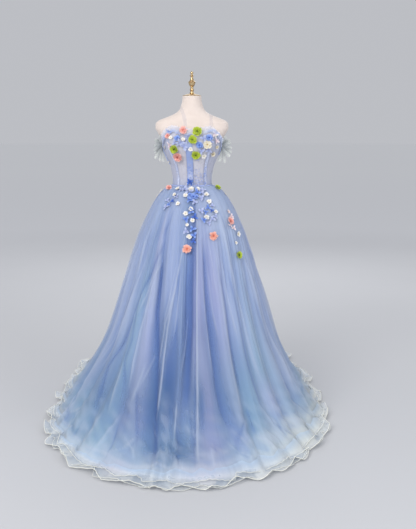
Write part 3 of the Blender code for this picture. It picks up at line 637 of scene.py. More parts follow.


# creases on the front, listed one by one: each runs down through (bearing, height) pairs
CREASES = (
    # width mm, height mm, tone (below 0 darker as painted shade, above 0 lighter as painted highlight), pairs
    (13, -5.0, -0.95, ((-32, 0.90), (-30, 0.64), (-23, 0.43), (-20, 0.31), (-15, 0.13), (-14, 0.03))),
    (15, -6.0, -0.95, ((4, 1.19), (0.5, 0.95), (-1.5, 0.76), (-1.5, 0.59), (-3, 0.40), (-4, 0.22))),
    (4, -4.0, -0.70, ((4.6, 1.19), (2.2, 0.71), (1.2, 0.28), (0.4, 0.02))),
    (14, -4.0, -0.70, ((-12, 0.62), (-15, 0.43), (-14, 0.28))),
    (11, -3.6, -0.60, ((-33, 0.98), (-42, 0.80), (-50, 0.66), (-53, 0.47), (-57, 0.36), (-54, 0.25), (-52, 0.15))),
    (12, -3.0, -0.45, ((-56, 1.05), (-56, 0.84), (-60, 0.61), (-65, 0.40))),
    (9, -2.8, -0.50, ((-49, 0.74), (-44, 0.50), (-45, 0.41), (-41, 0.34), (-37, 0.26))),
    (13, -4.0, -0.70, ((12, 0.98), (12, 0.68), (13, 0.49), (13, 0.31), (14, 0.21), (16, 0.14))),
    (12, -3.4, -0.55, ((26, 0.88), (28, 0.64), (27, 0.45), (26, 0.26))),
    (11, -3.0, -0.50, ((35, 0.83), (36, 0.57), (35, 0.38), (35, 0.18))),
    (12, -3.0, -0.45, ((58, 0.70), (58, 0.48), (61, 0.33), (65, 0.18))),
    (9, -3.0, -0.55, ((-31, 0.32), (-26, 0.20), (-21, 0.08))),
    (8, -2.6, -0.45, ((5, 0.33), (4, 0.15))),
    (10, -3.4, -0.50, ((-8, 0.22), (-6, 0.13), (-5, 0.05))),
    (10, -3.0, -0.45, ((27, 0.22), (27, 0.11))),
    (9, -2.6, -0.50, ((-48, 1.18), (-45, 1.04), (-47, 0.94), (-46, 0.80))),
    (8, -2.2, -0.40, ((-28, 1.15), (-34, 1.04), (-37, 0.98))),
    (7, -2.0, -0.35, ((42, 1.17), (45, 1.02), (44, 0.86))),
    (10, -2.6, -0.40, ((78, 1.10), (80, 0.80), (77, 0.45), (72, 0.15))),
    (10, -2.6, -0.40, ((-78, 1.05), (-76, 0.70), (-80, 0.35), (-76, 0.10))),
    (5, 4.5, 0.80, ((-8, 1.02), (-15, 0.80), (-18, 0.58), (-18, 0.44), (-17, 0.31), (-16, 0.17))),
    (4, 3.4, 0.60, ((-11, 0.84), (-13, 0.59), (-15, 0.40))),
    (5, 3.6, 0.60, ((-14, 0.80), (-20, 0.60), (-21, 0.42), (-20, 0.34))),
    (6, 4.0, 0.60, ((-35, 0.84), (-38, 0.64), (-40, 0.55), (-39, 0.41), (-36, 0.30))),
    (8, 3.6, 0.45, ((-38, 1.10), (-35, 0.87), (-32, 0.67), (-29, 0.55))),
    (8, 4.0, 0.50, ((-60, 1.02), (-57, 0.82), (-57, 0.65), (-60, 0.50), (-68, 0.32))),
    (5, 4.5, 0.85, ((7, 1.15), (3.3, 0.71), (2.3, 0.28), (1.4, 0.03))),
    (7, 3.4, 0.50, ((25, 0.97), (24, 0.71), (24, 0.52), (23, 0.30), (22, 0.18))),
    (7, 3.0, 0.40, ((15, 0.88), (16, 0.66), (18, 0.52))),
    (8, 4.0, 0.55, ((52, 0.90), (52, 0.65), (48, 0.45), (48, 0.33), (46, 0.17))),
    (8, 4.0, 0.50, ((66, 0.90), (67, 0.70), (67, 0.53), (70, 0.35), (67, 0.19))),
    (6, 3.0, 0.55, ((-8, 0.27), (-7.5, 0.14))),
    (7, 3.4, 0.45, ((-29, 0.42), (-31, 0.23))),
    (7, 3.4, 0.45, ((-46, 0.44), (-44, 0.28), (-41, 0.17))),
    (8, 3.0, 0.45, ((40, 1.10), (39, 0.84), (41, 0.60), (41, 0.30))),
    (9, 3.4, 0.40, ((-72, 0.95), (-70, 0.60), (-73, 0.25), (-70, 0.06))),
    (9, 3.4, 0.40, ((84, 0.98), (86, 0.60), (83, 0.25), (80, 0.06))),
    (8, 3.2, 0.40, ((-88, 1.10), (-90, 0.70), (-90, 0.20))),
    (7, 4.0, 0.35, ((33, 0.24), (38, 0.12), (44, 0.05))),
    (6, 4.0, 0.40, ((-22, 0.14), (-27, 0.08), (-35, 0.04))),
    (6, 4.0, 0.40, ((-60, 0.22), (-66, 0.12), (-76, 0.06))),
    (6, 4.0, 0.35, ((12, 0.13), (17, 0.07), (25, 0.035))),
    (4, 2.6, 0.60, ((-31, 0.92), (-36, 0.82), (-42, 0.70), (-45, 0.62))),
    (3, 2.2, 0.55, ((-16, 0.90), (-19, 0.74), (-22, 0.58))),
    (3, 2.0, 0.50, ((-43, 0.78), (-47, 0.64), (-51, 0.52))),
    (3, 2.2, 0.50, ((9, 0.80), (10, 0.62), (11, 0.46), (12, 0.34))),
    (4, 2.6, 0.55, ((30, 0.92), (31, 0.72), (32, 0.52))),
    (3, 2.2, 0.55, ((44, 0.66), (45, 0.46), (44, 0.32))),
    (3, 2.2, 0.50, ((-3, 0.70), (-5, 0.50), (-7, 0.36))),
    (4, 2.6, 0.50, ((-52, 0.92), (-55, 0.76), (-58, 0.62))),
    (4, 2.6, 0.50, ((60, 0.98), (61, 0.80), (60, 0.62))),
    (3, 2.0, 0.45, ((19, 1.00), (20, 0.86), (20, 0.72))),
    (3, 2.0, 0.45, ((-24, 0.50), (-27, 0.38), (-30, 0.28))),
    (3, 2.0, 0.45, ((-64, 0.62), (-68, 0.44), (-72, 0.30))),
    (3, 2.0, 0.45, ((72, 0.80), (73, 0.60), (74, 0.42))),
)

# broad soft patches of tone: the slate and deep ones are painted shade and the pale ones painted light; the aqua, lilac
# and white ones change the net's own tint, some lilac ones also lightening it as painted light
TINT_AND_PAINTED_LIGHT_WASHES = (
    # bearing, height, half width degrees, half height m, tone, strength
    (-12, 0.27, 3.5, 0.09, "deep", 0.60),
    (-18, 0.27, 2.5, 0.12, "deep", 0.52),
    (-20, 0.57, 3.0, 0.12, "deep", 0.55),
    (-5, 0.57, 3.0, 0.14, "deep", 0.40),
    (-5, 0.080, 6.5, 0.040, "slate", 0.70),
    (2, 0.085, 4.0, 0.035, "slate", 0.52),
    (-15, 0.085, 4.0, 0.040, "slate", 0.36),
    (-56, 0.060, 10, 0.040, "slate", 0.45),
    (40, 1.08, 36, 0.18, "pale", 0.60),
    (62, 0.75, 26, 0.40, "pale", 0.55),
    (74, 0.35, 20, 0.26, "pale", 0.55),
    (30, 0.62, 10, 0.22, "pale", 0.35),
    (-62, 0.85, 26, 0.40, "pale", 0.50),
    (-36, 0.62, 8, 0.16, "pale", 0.35),
    (-30, 1.14, 28, 0.10, "pale", 0.30),
    (-18, 0.92, 8, 0.12, "pale", 0.35),
    (0, 1.20, 14, 0.05, "pale", 0.25),
    (-4, 0.34, 12, 0.20, "slate", 0.45),
    (-15, 0.30, 7, 0.20, "deep", 0.55),
    (-26, 0.27, 12, 0.14, "slate", 0.35),
    (13, 0.30, 8, 0.18, "slate", 0.40),
    (-6, 0.09, 7, 0.06, "slate", 0.50),
    (-52, 0.26, 16, 0.12, "slate", 0.25),
    (28, 0.30, 6, 0.20, "slate", 0.25),
    (33, 0.24, 13, 0.18, "aqua", 0.55),
    (48, 0.42, 8, 0.30, "aqua", 0.40),
    (-46, 0.66, 6, 0.26, "aqua", 0.55),
    (-70, 0.12, 16, 0.10, "aqua", 0.45),
    (78, 0.12, 16, 0.10, "aqua", 0.45),
    (7, 0.24, 4, 0.15, "lilac", 0.30),
    (4, 0.62, 5, 0.40, "lilac", 0.35),
    (18, 0.78, 6, 0.25, "lilac", 0.30),
    (8, 0.10, 7, 0.06, "lilac", 0.50),
    (-76, 0.09, 10, 0.05, "lilac", 0.35),
    (33, 0.085, 7, 0.045, "white", 0.75),
    (53, 0.08, 12, 0.06, "white", 0.70),
    (72, 0.06, 12, 0.05, "white", 0.50),
    (-40, 0.05, 12, 0.03, "white", 0.25),
    (-62, 0.05, 14, 0.03, "white", 0.10),
    (-20, 0.56, 4, 0.13, "slate", 0.70),
    (5, 0.55, 4, 0.12, "slate", 0.34),
    (14, 0.56, 4, 0.11, "slate", 0.28),
    (-4, 1.15, 11, 0.04, "slate", 0.34),
    (-34, 0.89, 5, 0.08, "slate", 0.24),
    (-57, 0.20, 8, 0.07, "slate", 0.30),
    (-32, 0.25, 7, 0.09, "slate", 0.28),
    (-16, 0.27, 6, 0.11, "slate", 0.70),
    (3, 0.27, 4, 0.12, "slate", 0.80),
    (-6, 0.30, 4, 0.14, "pale", 0.22),
    (21, 0.26, 4, 0.08, "slate", 0.30),
    (0, 0.085, 16, 0.030, "slate", 0.34),
    (44, 0.22, 7, 0.10, "lilac", 0.50),
    (44, 0.22, 7, 0.10, "pale", 0.40),
    (48, 0.09, 9, 0.04, "white", 0.50),
    (40, 1.12, 18, 0.09, "pale", 0.85),
    (-58, 0.56, 6, 0.10, "pale", 0.35),
    (-100, 0.35, 14, 0.30, "slate", 0.18),
    (104, 0.40, 14, 0.30, "slate", 0.18),
    (140, 0.60, 16, 0.35, "lilac", 0.35),
    (-138, 0.45, 16, 0.35, "aqua", 0.35),
    (172, 0.75, 16, 0.30, "slate", 0.25),
    (150, 0.25, 16, 0.16, "aqua", 0.35),
    (-168, 0.20, 18, 0.12, "white", 0.30),
)


def hem_breaks(seed):
    """Short slanting creases round the foot of the skirt, uneven in length, depth and spacing, the raised ones painted
    lighter as painted highlight and the sunk ones darker as painted shade.
    """
    rng = random.Random(seed)
    rows, th = [], -180.0
    while th < 176:
        foot = rng.uniform(0.020, 0.060)
        top = foot + rng.uniform(0.05, 0.20)
        slant = rng.uniform(-9, 9)
        up = 1 if rng.random() < 0.55 else -1
        rows.append((rng.uniform(5, 12), up * rng.uniform(3.0, 6.5), up * rng.uniform(0.18, 0.50),
                     ((th + slant, top), (th + slant * 0.3, (top + foot) / 2), (th, foot))))
        th += rng.uniform(3.5, 9.0)
    return tuple(rows)


HEM_BREAKS = hem_breaks(9)


# height of the pale band at the foot of the skirt
PALE_FOOT = (
    # bearing, height mm
    (-180, 50), (-110, 44), (-73, 36), (-41, 38), (-22, 35), (-6, 47), (12, 52), (26, 60), (51, 74), (67, 80),
    (100, 64), (140, 52), (180, 50),
)


def ragged_line(seed, least, most, low, high):
    """A broken line round the hem: (bearing, factor) pairs with uneven steps."""
    rng = random.Random(seed)
    turns, sizes, th, up = [], [], -180.0, False
    while th < 180 - least:
        turns.append(th)
        sizes.append(rng.uniform(low, 1.0) if up else rng.uniform(1.0, high))
        th += rng.uniform(least, most)
        up = not up
    return turns + [180.0], sizes + [sizes[0]]


FOOT_LINE = ragged_line(12, 1.6, 6.0, 0.72, 1.24)
SECOND_LINE = ragged_line(29, 3.0, 9.0, 0.66, 1.25)


def pale_foot(theta, line=FOOT_LINE):
    turned = (theta + 180) % 360 - 180
    high = np.interp(turned, [r[0] for r in PALE_FOOT], [r[1] for r in PALE_FOOT]) / 1000
    return high * np.interp(turned, *line)


def foot_tone(theta):
    """Blue-white on the left, a little pink at the front and cream on the right."""
    turned = (theta + 180) % 360 - 180
    cream = smoothstep(14, 52, turned) * smoothstep(150, 110, turned)
    pink = np.exp(-((turned + 27) / 7) ** 2) + np.exp(-((turned - 4) / 9) ** 2)
    base = blend_colours(HEM_WHITE, colour(222, 224, 217), cream)
    return blend_colours(base, colour(216, 208, 226), 0.55 * pink)


def lined(theta, Z, P, col):
    """Sum of the listed creases' column (1 height mm, 2 tone: painted shade below 0, painted highlight above 0) over
    the surface.
    """
    out = np.zeros(theta.shape)
    turned = (theta + 180) % 360 - 180
    radius = np.hypot(P[..., 0], P[..., 1])
    for index, row in enumerate(CREASES + HEM_BREAKS):
        pts = row[3][::-1]
        zs, th = [q[1] for q in pts], [q[0] for q in pts]
        run = zs[-1] - zs[0]
        line = np.interp(Z, zs, th)
        wide = row[0] / 1000 * (0.65 + 0.55 * np.clip((zs[-1] - Z) / run, 0, 1))
        d = ((turned - line + 180) % 360 - 180) * (math.pi / 180) * radius / wide
        tail = min(0.10, 0.40 * run)
        env = smoothstep(zs[-1] + 0.02, zs[-1] - tail, Z) * smoothstep(zs[0] - 0.02, zs[0] + tail, Z)
        if col == 2 and index > 1:
            x = d if index % 2 else -d
            shape = np.where(x < 0, np.exp(-np.minimum((x / 0.5) ** 2, 40)), np.exp(-(np.abs(x) / 1.35) ** 1.3))
        else:
            shape = np.exp(-np.minimum(d * d, 40))
        out += row[col] * env * shape
    return out


def seeded_creases(seed, each, tall):
    rng = random.Random(seed)
    rows = []
    for k in range(FOLDS):
        for _ in range(each):
            s = k + rng.uniform(0.12, 0.88)
            top = rng.uniform(0.45, 1.20)
            foot = max(0.01, top - rng.uniform(0.35, 1.15))
            height = rng.uniform(1.2, 3.4) * tall * (1 if rng.random() < 0.62 else -0.8)
            rows.append((s, s + rng.uniform(-0.10, 0.10), top, foot, rng.uniform(3.5, 9.0), height))
    return tuple(rows)


def crease_field(S, Z, P, rows):
    """Height of the creases over the surface, in metres."""
    arc = np.linalg.norm(np.gradient(P, axis=1), axis=2) / np.maximum(np.gradient(S, axis=1), 1e-9)
    out = np.zeros(S.shape)
    for s_top, s_foot, top, foot, width, height in rows:
        t = np.clip((top - Z) / (top - foot), 0, 1)
        ds = (S - (s_top + (s_foot - s_top) * t) + FOLDS / 2) % FOLDS - FOLDS / 2
        env = smoothstep(top + 0.03, top - 0.14, Z) * smoothstep(foot - 0.02, foot + 0.10, Z)
        d = ds * arc / (width / 1000 * (0.55 + 0.75 * t))
        out += height / 1000 * env * np.exp(-np.minimum(d * d, 40)) * (0.45 + 0.75 * t)
    return out


def ripples(S, Z, seed):
    """Soft unevenness: gathers at the waist, a slow sway lower down and small breaks at the hem."""
    a, b, c = (1.7 * seed) % 6.28, (2.9 * seed) % 6.28, (4.1 * seed) % 6.28
    w = 2 * math.pi
    gather = np.sin(w * (8 * S) + 1.9 * np.sin(2.3 * S + a) + 1.2 * np.sin(5.7 * S + b))
    out = 0.0008 * gather * smoothstep(0.98, 1.18, Z) * (1 - 0.4 * smoothstep(1.225, 1.24, Z))
    mid = np.sin(w * (4 * S) + 1.4 * np.sin(1.9 * S + b) + 3 * Z)
    out += 0.0013 * mid * smoothstep(0.30, 0.8, Z) * (1 - smoothstep(0.95, 1.15, Z))
    sway = np.sin(3.1 * S + 5.2 * Z + a) * np.sin(1.3 * S - 7.1 * Z + c)
    out += 0.0030 * sway * smoothstep(1.05, 0.55, Z)
    breaks = (np.sin(6.1 * S + 61 * Z + a) * np.sin(3.3 * S - 43 * Z + b)
              + 0.6 * np.sin(11.3 * S + 90 * Z + c) * np.sin(4.7 * S + 31 * Z))
    out += 0.0046 * breaks * smoothstep(0.34, 0.08, Z) * smoothstep(0.005, 0.04, Z)
    return out


def push(z):
    """Room between the outer tulle and the lining."""
    return 0.0030 + 0.0150 * smoothstep(1.225, 1.02, z)


def fold_tone(S, col):
    base = np.floor(S).astype(int)
    f = S - base
    t = np.array([row[col] for row in FOLD_TONES])
    here, before, after = t[base % FOLDS], t[(base - 1) % FOLDS], t[(base + 1) % FOLDS]
    side = np.where(f < 0.5, before, after)
    w = np.abs(f - 0.5) * 2
    return here * (1 - 0.5 * w ** 3) + side * 0.5 * w ** 3


# tones, as they look on a screen
DEEP = colour(56, 90, 163)
BLUE = colour(112, 146, 206)
MID = colour(157, 178, 217)
LILAC = colour(178, 184, 223)
PINKISH = colour(190, 184, 220)
AQUA = colour(146, 186, 208)
SLATE = colour(88, 122, 164)
PALE = colour(197, 210, 234)
HEM_AQUA = colour(160, 192, 212)
HEM_WHITE = colour(212, 222, 232)
WASH_TONES = {"pale": PALE, "slate": SLATE, "deep": DEEP, "aqua": AQUA, "lilac": PINKISH, "white": HEM_WHITE}


def layer(seed, share, creases, tall):
    """Builds a function that gives one layer's grid, depth and bearing for a stretch of folds."""
    rows = seeded_creases(seed, creases, tall)

    def make(first, last, per, Z, hem=None, reach=None):
        S = np.arange((last - first) * per + 3) / per + first - 1 / per
        S = np.broadcast_to(S, (len(Z), len(S)))
        Z2 = np.broadcast_to(np.asarray(Z)[:, None], S.shape)
        if hem is not None:
            foot = hem(S)
            Z2 = WAIST_Z - (WAIST_Z - Z2) * (WAIST_Z - foot) / (WAIST_Z - Z[-1])
        P, deep, theta = skirt_surface(S, Z2)
        n = normals(P)
        front = lined(theta, Z2, P, 1) / 1000
        lift = crease_field(S, Z2, P, rows) * (0.35 + 0.65 * smoothstep(60, 110, np.abs((theta + 180) % 360 - 180)))
        lift = lift + front * (1.0 if share == 0 else 0.7)
        room = push(Z2)
        lift = np.maximum(lift + ripples(S, Z2, seed), -0.30 * room)
        if share > 0:
            lift = np.clip(lift * 0.7, -0.24 * room, 0.20 * room)
        Q = P + n * (lift - share * room)[..., None]
        if reach is not None:
            k = reach(theta, Z2)
            Q[..., 0] *= k
            Q[..., 1] *= k
        Q[..., 2] = np.maximum(Q[..., 2], 0.004)
        cut = (slice(None), slice(1, -1))
        # tone: painted shade along the sunk creases and painted highlight along the raised ones
        tone = lined(theta, Z2, P, 2)
        return Q[cut], deep[cut], theta[cut], S[cut], Z2[cut], lift[cut], tone[cut]

    return make


# painted shade in each valley, together with the deeper tone of the net bunched there: at the waist, the knee and the
# hem
VALLEY_PAINTED_SHADE = (
    (0.5, 0.7, 0.4), (0.4, 0.8, 0.5), (0.5, 0.6, 0.4), (0.4, 0.7, 0.4), (0.4, 0.5, 0.3), (0.4, 0.6, 0.4),
    (0.3, 0.5, 0.3), (0.4, 0.5, 0.3), (0.5, 0.4, 0.3), (0.5, 1.0, 0.9), (0.2, 0.6, 0.5), (1.0, 0.9, 0.7),
    (0.2, 0.7, 0.6), (0.2, 0.5, 0.4), (0.2, 0.5, 0.3), (0.3, 0.4, 0.3), (0.3, 0.5, 0.3), (0.4, 0.5, 0.3),
    (0.4, 0.7, 0.4), (0.5, 0.6, 0.4), (0.4, 0.8, 0.5), (0.5, 0.6, 0.4), (0.5, 0.7, 0.4),
)


def valley_shade(S, Z):
    """Painted shade of the nearer valley here, with the deeper tone of the net bunched there."""
    near = np.floor(S + 0.5).astype(int) % FOLDS
    waist, knee, hem = (np.array([row[k] for row in VALLEY_PAINTED_SHADE])[near] for k in range(3))
    t = np.clip((WAIST_Z - Z) / WAIST_Z, 0, 1)
    upper = waist + (knee - waist) * smoothstep(0.05, 0.50, t)
    return upper + (hem - upper) * smoothstep(0.60, 0.97, t)


def skirt_tint(kind, deep, theta, S, Z, lift, tone):
    lilac, aqua, pale = (fold_tone(S, k) for k in range(3))
    low = smoothstep(0.75, 0.25, Z)
    high = smoothstep(0.95, 1.2, Z)
    # painted shade in the fold valleys, with the deeper tone of the net bunched there
    dark = valley_shade(S, Z) * deep ** 1.2
    turned = (theta + 180) % 360 - 180

    def washes(base, share):
        for th, z, wide, tall, name, strength in TINT_AND_PAINTED_LIGHT_WASHES:
            d = ((turned - th + 180) % 360 - 180) / wide
            base = blend_colours(base, WASH_TONES[name], share * strength * np.exp(-d * d - ((Z - z) / tall) ** 2))
        return base

    if kind == "veil":
        base = blend_colours(MID, LILAC, lilac * (0.55 + 0.25 * (1 - low)))
        base = blend_colours(base, PINKISH, np.clip(lilac - 0.6, 0, 1) * 0.9 * (1 - high))
        base = blend_colours(base, AQUA, aqua * (0.20 + 0.55 * low))
        base = blend_colours(base, PALE, pale * 0.5 + 0.35 * high)
        base = blend_colours(base, BLUE, 0.75 * dark)
        base = blend_colours(base, SLATE, 0.12 * smoothstep(0.60, 0.34, Z) * smoothstep(0.08, 0.26, Z))
        wander = 1 + 0.45 * np.sin(0.19 * turned + 1.0) * np.sin(0.083 * turned) + 0.25 * np.sin(0.47 * turned + 2.0)
        base = blend_colours(base, HEM_AQUA, smoothstep(0.26, 0.08, Z / wander) * 0.60)
        base = blend_colours(base, HEM_WHITE, smoothstep(0.060, 0.020, Z / wander) * 0.75)
        base = washes(base, 0.9)
        # painted shade along the sunk creases and painted highlight along the raised ones; then raised cloth painted
        # paler and sunk cloth bluer, as painted highlight and painted shade
        base = blend_colours(base, DEEP, np.clip(-tone, 0, 1) * 0.62)
        base = blend_colours(base, colour(214, 222, 240), np.clip(tone, 0, 1))
        base = blend_colours(base, PALE, np.clip(lift / 0.005, 0, 1) * 0.45)
        base = blend_colours(base, BLUE, np.clip(-lift / 0.004, 0, 1) * 0.28)
        second = smoothstep(0.016, -0.012, Z - 1.75 * pale_foot(theta, SECOND_LINE))
        base = blend_colours(base, foot_tone(theta), 0.24 * second)
        base = blend_colours(base, foot_tone(theta), 0.42 * smoothstep(0.012, -0.010, Z - pale_foot(theta)))
    elif kind == "middle":
        base = blend_colours(MID, LILAC, lilac * 0.5)
        base = blend_colours(base, AQUA, aqua * 0.5 * low + 0.10)
        base = blend_colours(base, BLUE, 0.9 * dark)
        base = blend_colours(base, SLATE, 0.25 * smoothstep(0.60, 0.34, Z))
        base = blend_colours(base, HEM_AQUA, smoothstep(0.24, 0.05, Z) * 0.7)
        base = washes(base, 0.9)
        # painted shade and painted highlight along the creases
        base = blend_colours(base, DEEP, np.clip(-tone, 0, 1) * 0.60)
        base = blend_colours(base, PALE, np.clip(tone, 0, 1) * 0.5)
        edge = np.arange(Z.shape[0])[:, None] >= Z.shape[0] - 2
        base = np.where(edge[..., None], np.asarray(colour(226, 232, 242)), base)
        base = blend_colours(base, foot_tone(theta), 0.50 * smoothstep(0.018, -0.012, Z - pale_foot(theta)))
    elif kind == "inner":
        base = blend_colours(BLUE, AQUA, aqua * 0.5 * low + 0.15 * low)
        base = blend_colours(base, DEEP, 0.5 * dark)
        base = blend_colours(base, SLATE, 0.40 * smoothstep(0.60, 0.34, Z))
        # painted shade along the sunk creases
        base = blend_colours(base, DEEP, np.clip(-tone, 0, 1) * 0.7)
        base = washes(base, 0.8)
        edge = np.arange(Z.shape[0])[:, None] >= Z.shape[0] - 3
        base = np.where(edge[..., None], np.asarray(HEM_WHITE), base)
    else:
        # fold ridges lighter and valleys darker: painted light and painted shade of the folds
        base = blend_colours(BLUE, MID, 0.35 * (1 - deep) + 0.2 * lilac)
        base = blend_colours(base, DEEP, 0.95 * dark)
        base = blend_colours(base, AQUA, aqua * 0.5 * low)
        base = blend_colours(base, SLATE, 0.45 * smoothstep(0.60, 0.34, Z))
        base = blend_colours(base, HEM_AQUA, smoothstep(0.24, 0.05, Z) * 0.7)
        base = washes(base, 0.8)
        # painted shade along the sunk creases
        base = blend_colours(base, DEEP, np.clip(-tone, 0, 1) * 0.8)
        base = blend_colours(base, foot_tone(theta), 0.50 * smoothstep(0.020, -0.014, Z - pale_foot(theta)))
    return base


# ---------------------------------------------------------------- camera, floor and lights
def build_stage():
    cam = bpy.data.cameras.new("camera")
    cam.sensor_fit = "AUTO"
    cam.sensor_width = 36.0
    cam.lens = 772.3 / 529 * 36.0
    ob = bpy.data.objects.new("camera", cam)
    bpy.context.scene.collection.objects.link(ob)
    ob.location = (0.0, -4.0, 1.554)
    ob.rotation_euler = (math.radians(90 - 10.36), 0.0, math.radians(-1.165))
    cam.clip_start, cam.clip_end = 0.05, 60
    bpy.context.scene.camera = ob

    # wide floor, a little paler far away, its rim slightly raised
    verts, faces, sides = [(0.0, 0.0, 0.0)], [], 96
    rings = ((2.0, 0.0), (4.0, 0.0), (8.0, 0.0), (16.0, 0.0), (30.0, 0.0), (36.0, 0.10), (40.0, 0.45))
    for r, z in rings:
        verts += [(r * math.cos(2 * math.pi * k / sides), r * math.sin(2 * math.pi * k / sides), z)
                  for k in range(sides)]
    for k in range(sides):
        m = (k + 1) % sides
        faces.append((0, 1 + k, 1 + m))
        for i in range(len(rings) - 1):
            lo, hi = 1 + i * sides, 1 + (i + 1) * sides
            faces.append((lo + k, hi + k, hi + m, lo + m))
    me = bpy.data.meshes.new("floor")
    me.from_pydata(verts, [], faces)
    me.shade_smooth()
    m = Shader("floor_paper", rough=0.9, specular=0.1)
    v = m.position((1, 1, 1))
    length = m.add("ShaderNodeVectorMath", operation="LENGTH")
    m.link(v, length.inputs[0])
    far = m.maths("DIVIDE", length.outputs["Value"], 22.0)
    mottled = m.maths("MULTIPLY", m.noise(v, 1.5, 2.0), 0.04)
    me.materials.append(m.finish(base=m.ramp(m.maths("ADD", far, mottled), (
        (0.0, colour(190, 191, 194)), (0.14, colour(195, 196, 199)), (0.38, colour(213, 214, 217)),
        (1.0, colour(216, 217, 219)))),
        normal=m.bump(m.noise(v, 300.0, 2.0), 0.05, 0.0005)))
    floor = bpy.data.objects.new("floor", me)
    bpy.context.scene.collection.objects.link(floor)

    def area(name, place, aim, size, power, tone=(1, 1, 1)):
        data = bpy.data.lights.new(name, "AREA")
        data.shape = "RECTANGLE"
        data.size, data.size_y = size
        data.energy = power
        data.color = tone
        lamp = bpy.data.objects.new(name, data)
        bpy.context.scene.collection.objects.link(lamp)
        lamp.location = place
        lamp.rotation_euler = (Vector(aim) - Vector(place)).to_track_quat("-Z", "Y").to_euler()
        return lamp

    area("key", (-2.6, -4.6, 3.6), (0, 0, 0.8), (2.6, 2.6), 176, (1.0, 0.985, 0.965))
    area("fill", (3.4, -3.6, 2.4), (0, 0, 0.7), (3.0, 3.0), 76, (0.96, 0.98, 1.0))
    area("back", (0.5, 4.2, 3.2), (0, 0.4, 0.6), (3.0, 2.0), 45)
    sky = bpy.data.lights.new("soft_sky", "SUN")
    sky.energy = 0.70
    sky.angle = math.radians(60)
    lamp = bpy.data.objects.new("soft_sky", sky)
    bpy.context.scene.collection.objects.link(lamp)
    lamp.rotation_euler = (math.radians(24), math.radians(-10), 0)
    world = bpy.data.worlds.new("studio")
    world.use_nodes = True
    back = world.node_tree.nodes["Background"]
    back.inputs["Color"].default_value = (0.92, 0.94, 1.0, 1)
    back.inputs["Strength"].default_value = 0.55
    bpy.context.scene.world = world
    bpy.context.scene.view_settings.view_transform = "Standard"
    bpy.context.scene.view_settings.look = "None"


# ---------------------------------------------------------------- skirt
def back_share(theta):
    a = np.abs((theta + 180) % 360 - 180)
    return smoothstep(70, 135, a)


def build_skirt():
    veil_mat = tulle("tulle_outer", 0.46, 0.08)
    middle_mat = tulle("tulle_middle", 0.42, 0.09)
    inner_mat = tulle("tulle_inner", 0.50, 0.09)
    lining_mat = tulle("tulle_lining", 1.0, 0.08, sheen=0.2)

    Z = levels(128)
    make = layer(3, 0.0, 4, 1.0)
    for name, first, last in GORES:
        G, deep, theta, S, Zs, lift, tone = make(first, last, 34, Z)
        ob = sheet_object("veil_" + name, G, veil_mat, skirt_tint("veil", deep, theta, S, Zs, lift, tone),
                          np.stack([S, Zs, deep], -1))
        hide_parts("skirt_veil_" + name)
        declare(ob, G)

    def middle_hem(S):
        return 0.034 + 0.014 * np.sin(1.3 * S + 2.0) * np.sin(0.7 * S) + 0.006 * np.sin(4.1 * S)

    make = layer(11, 0.42, 3, 0.8)
    Z = levels(84, bottom=0.034)
    for name, first, last in THIRDS:
        G, deep, theta, S, Zs, lift, tone = make(
            first, last, 22, Z, hem=middle_hem, reach=lambda th, z: 1 - (0.010 + 0.050 * back_share(th)) * smoothstep(0.5, 0.02, z))
        ob = sheet_object("middle_" + name, G, middle_mat, skirt_tint("middle", deep, theta, S, Zs, lift, tone),
                          np.stack([S + 3.3, Zs, deep], -1))
        declare(ob, G)

    def inner_hem(S):
        return 0.074 + 0.020 * np.sin(1.9 * S) * np.sin(0.8 * S + 1.0) + 0.010 * np.sin(5.3 * S)

    make = layer(23, 0.72, 3, 0.7)
    Z = levels(72, bottom=0.074)
    for name, first, last in THIRDS:
        G, deep, theta, S, Zs, lift, tone = make(
            first, last, 18, Z, hem=inner_hem,
            reach=lambda th, z: 1 - (0.010 + 0.080 * back_share(th)) * smoothstep(0.5, 0.05, z))
        ob = sheet_object("inner_" + name, G, inner_mat, skirt_tint("inner", deep, theta, S, Zs, lift, tone),
                          np.stack([S + 7.7, Zs, deep], -1))
        declare(ob, G)

    make = layer(31, 1.0, 3, 0.6)
    Z = levels(84, bottom=0.012)
    for name, first, last in THIRDS:
        G, deep, theta, S, Zs, lift, tone = make(
            first, last, 22, Z, reach=lambda th, z: 1 - (0.010 + 0.10 * back_share(th)) * smoothstep(0.45, 0.03, z))
        ob = sheet_object("lining_" + name, G, lining_mat, skirt_tint("lining", deep, theta, S, Zs, lift, tone),
                          np.stack([S + 5.1, Zs, deep], -1))
        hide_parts("skirt_under_" + name)
        declare(ob, G)


# wired frill: how far it reaches and how high its loops stand round the hem
FRILL_REACH = (
    # bearing, reach mm, loop height mm
    (-180, 56, 22), (-135, 56, 26), (-100, 54, 34), (-70, 60, 38), (-45, 76, 32), (-28, 90, 28), (-12, 92, 26),
    (10, 80, 24), (35, 68, 28), (60, 54, 36), (90, 50, 38), (120, 54, 30), (150, 56, 24), (180, 56, 22),
)


def frill_corners(length, seed, least, most):
    """Corners of the wired edge along the hem: place, reach, height, lean and painted shade of each."""
    rng = random.Random(seed)
    rows, at, high = [], 0.0, False
    while at < length + most:
        rows.append((at, rng.uniform(0.60, 0.92) if high else rng.uniform(0.86, 1.10),
                     rng.uniform(0.50, 1.0) if high else rng.uniform(0.0, 0.16),
                     rng.choice((-1, 1)) * (rng.uniform(0.40, 0.60) if rng.random() < 0.35 else rng.uniform(0.0, 0.25)),
                     rng.uniform(0.55, 1.0) if high else rng.uniform(0.0, 0.35)))
        at += rng.uniform(least, most)
        high = not high
    return rows


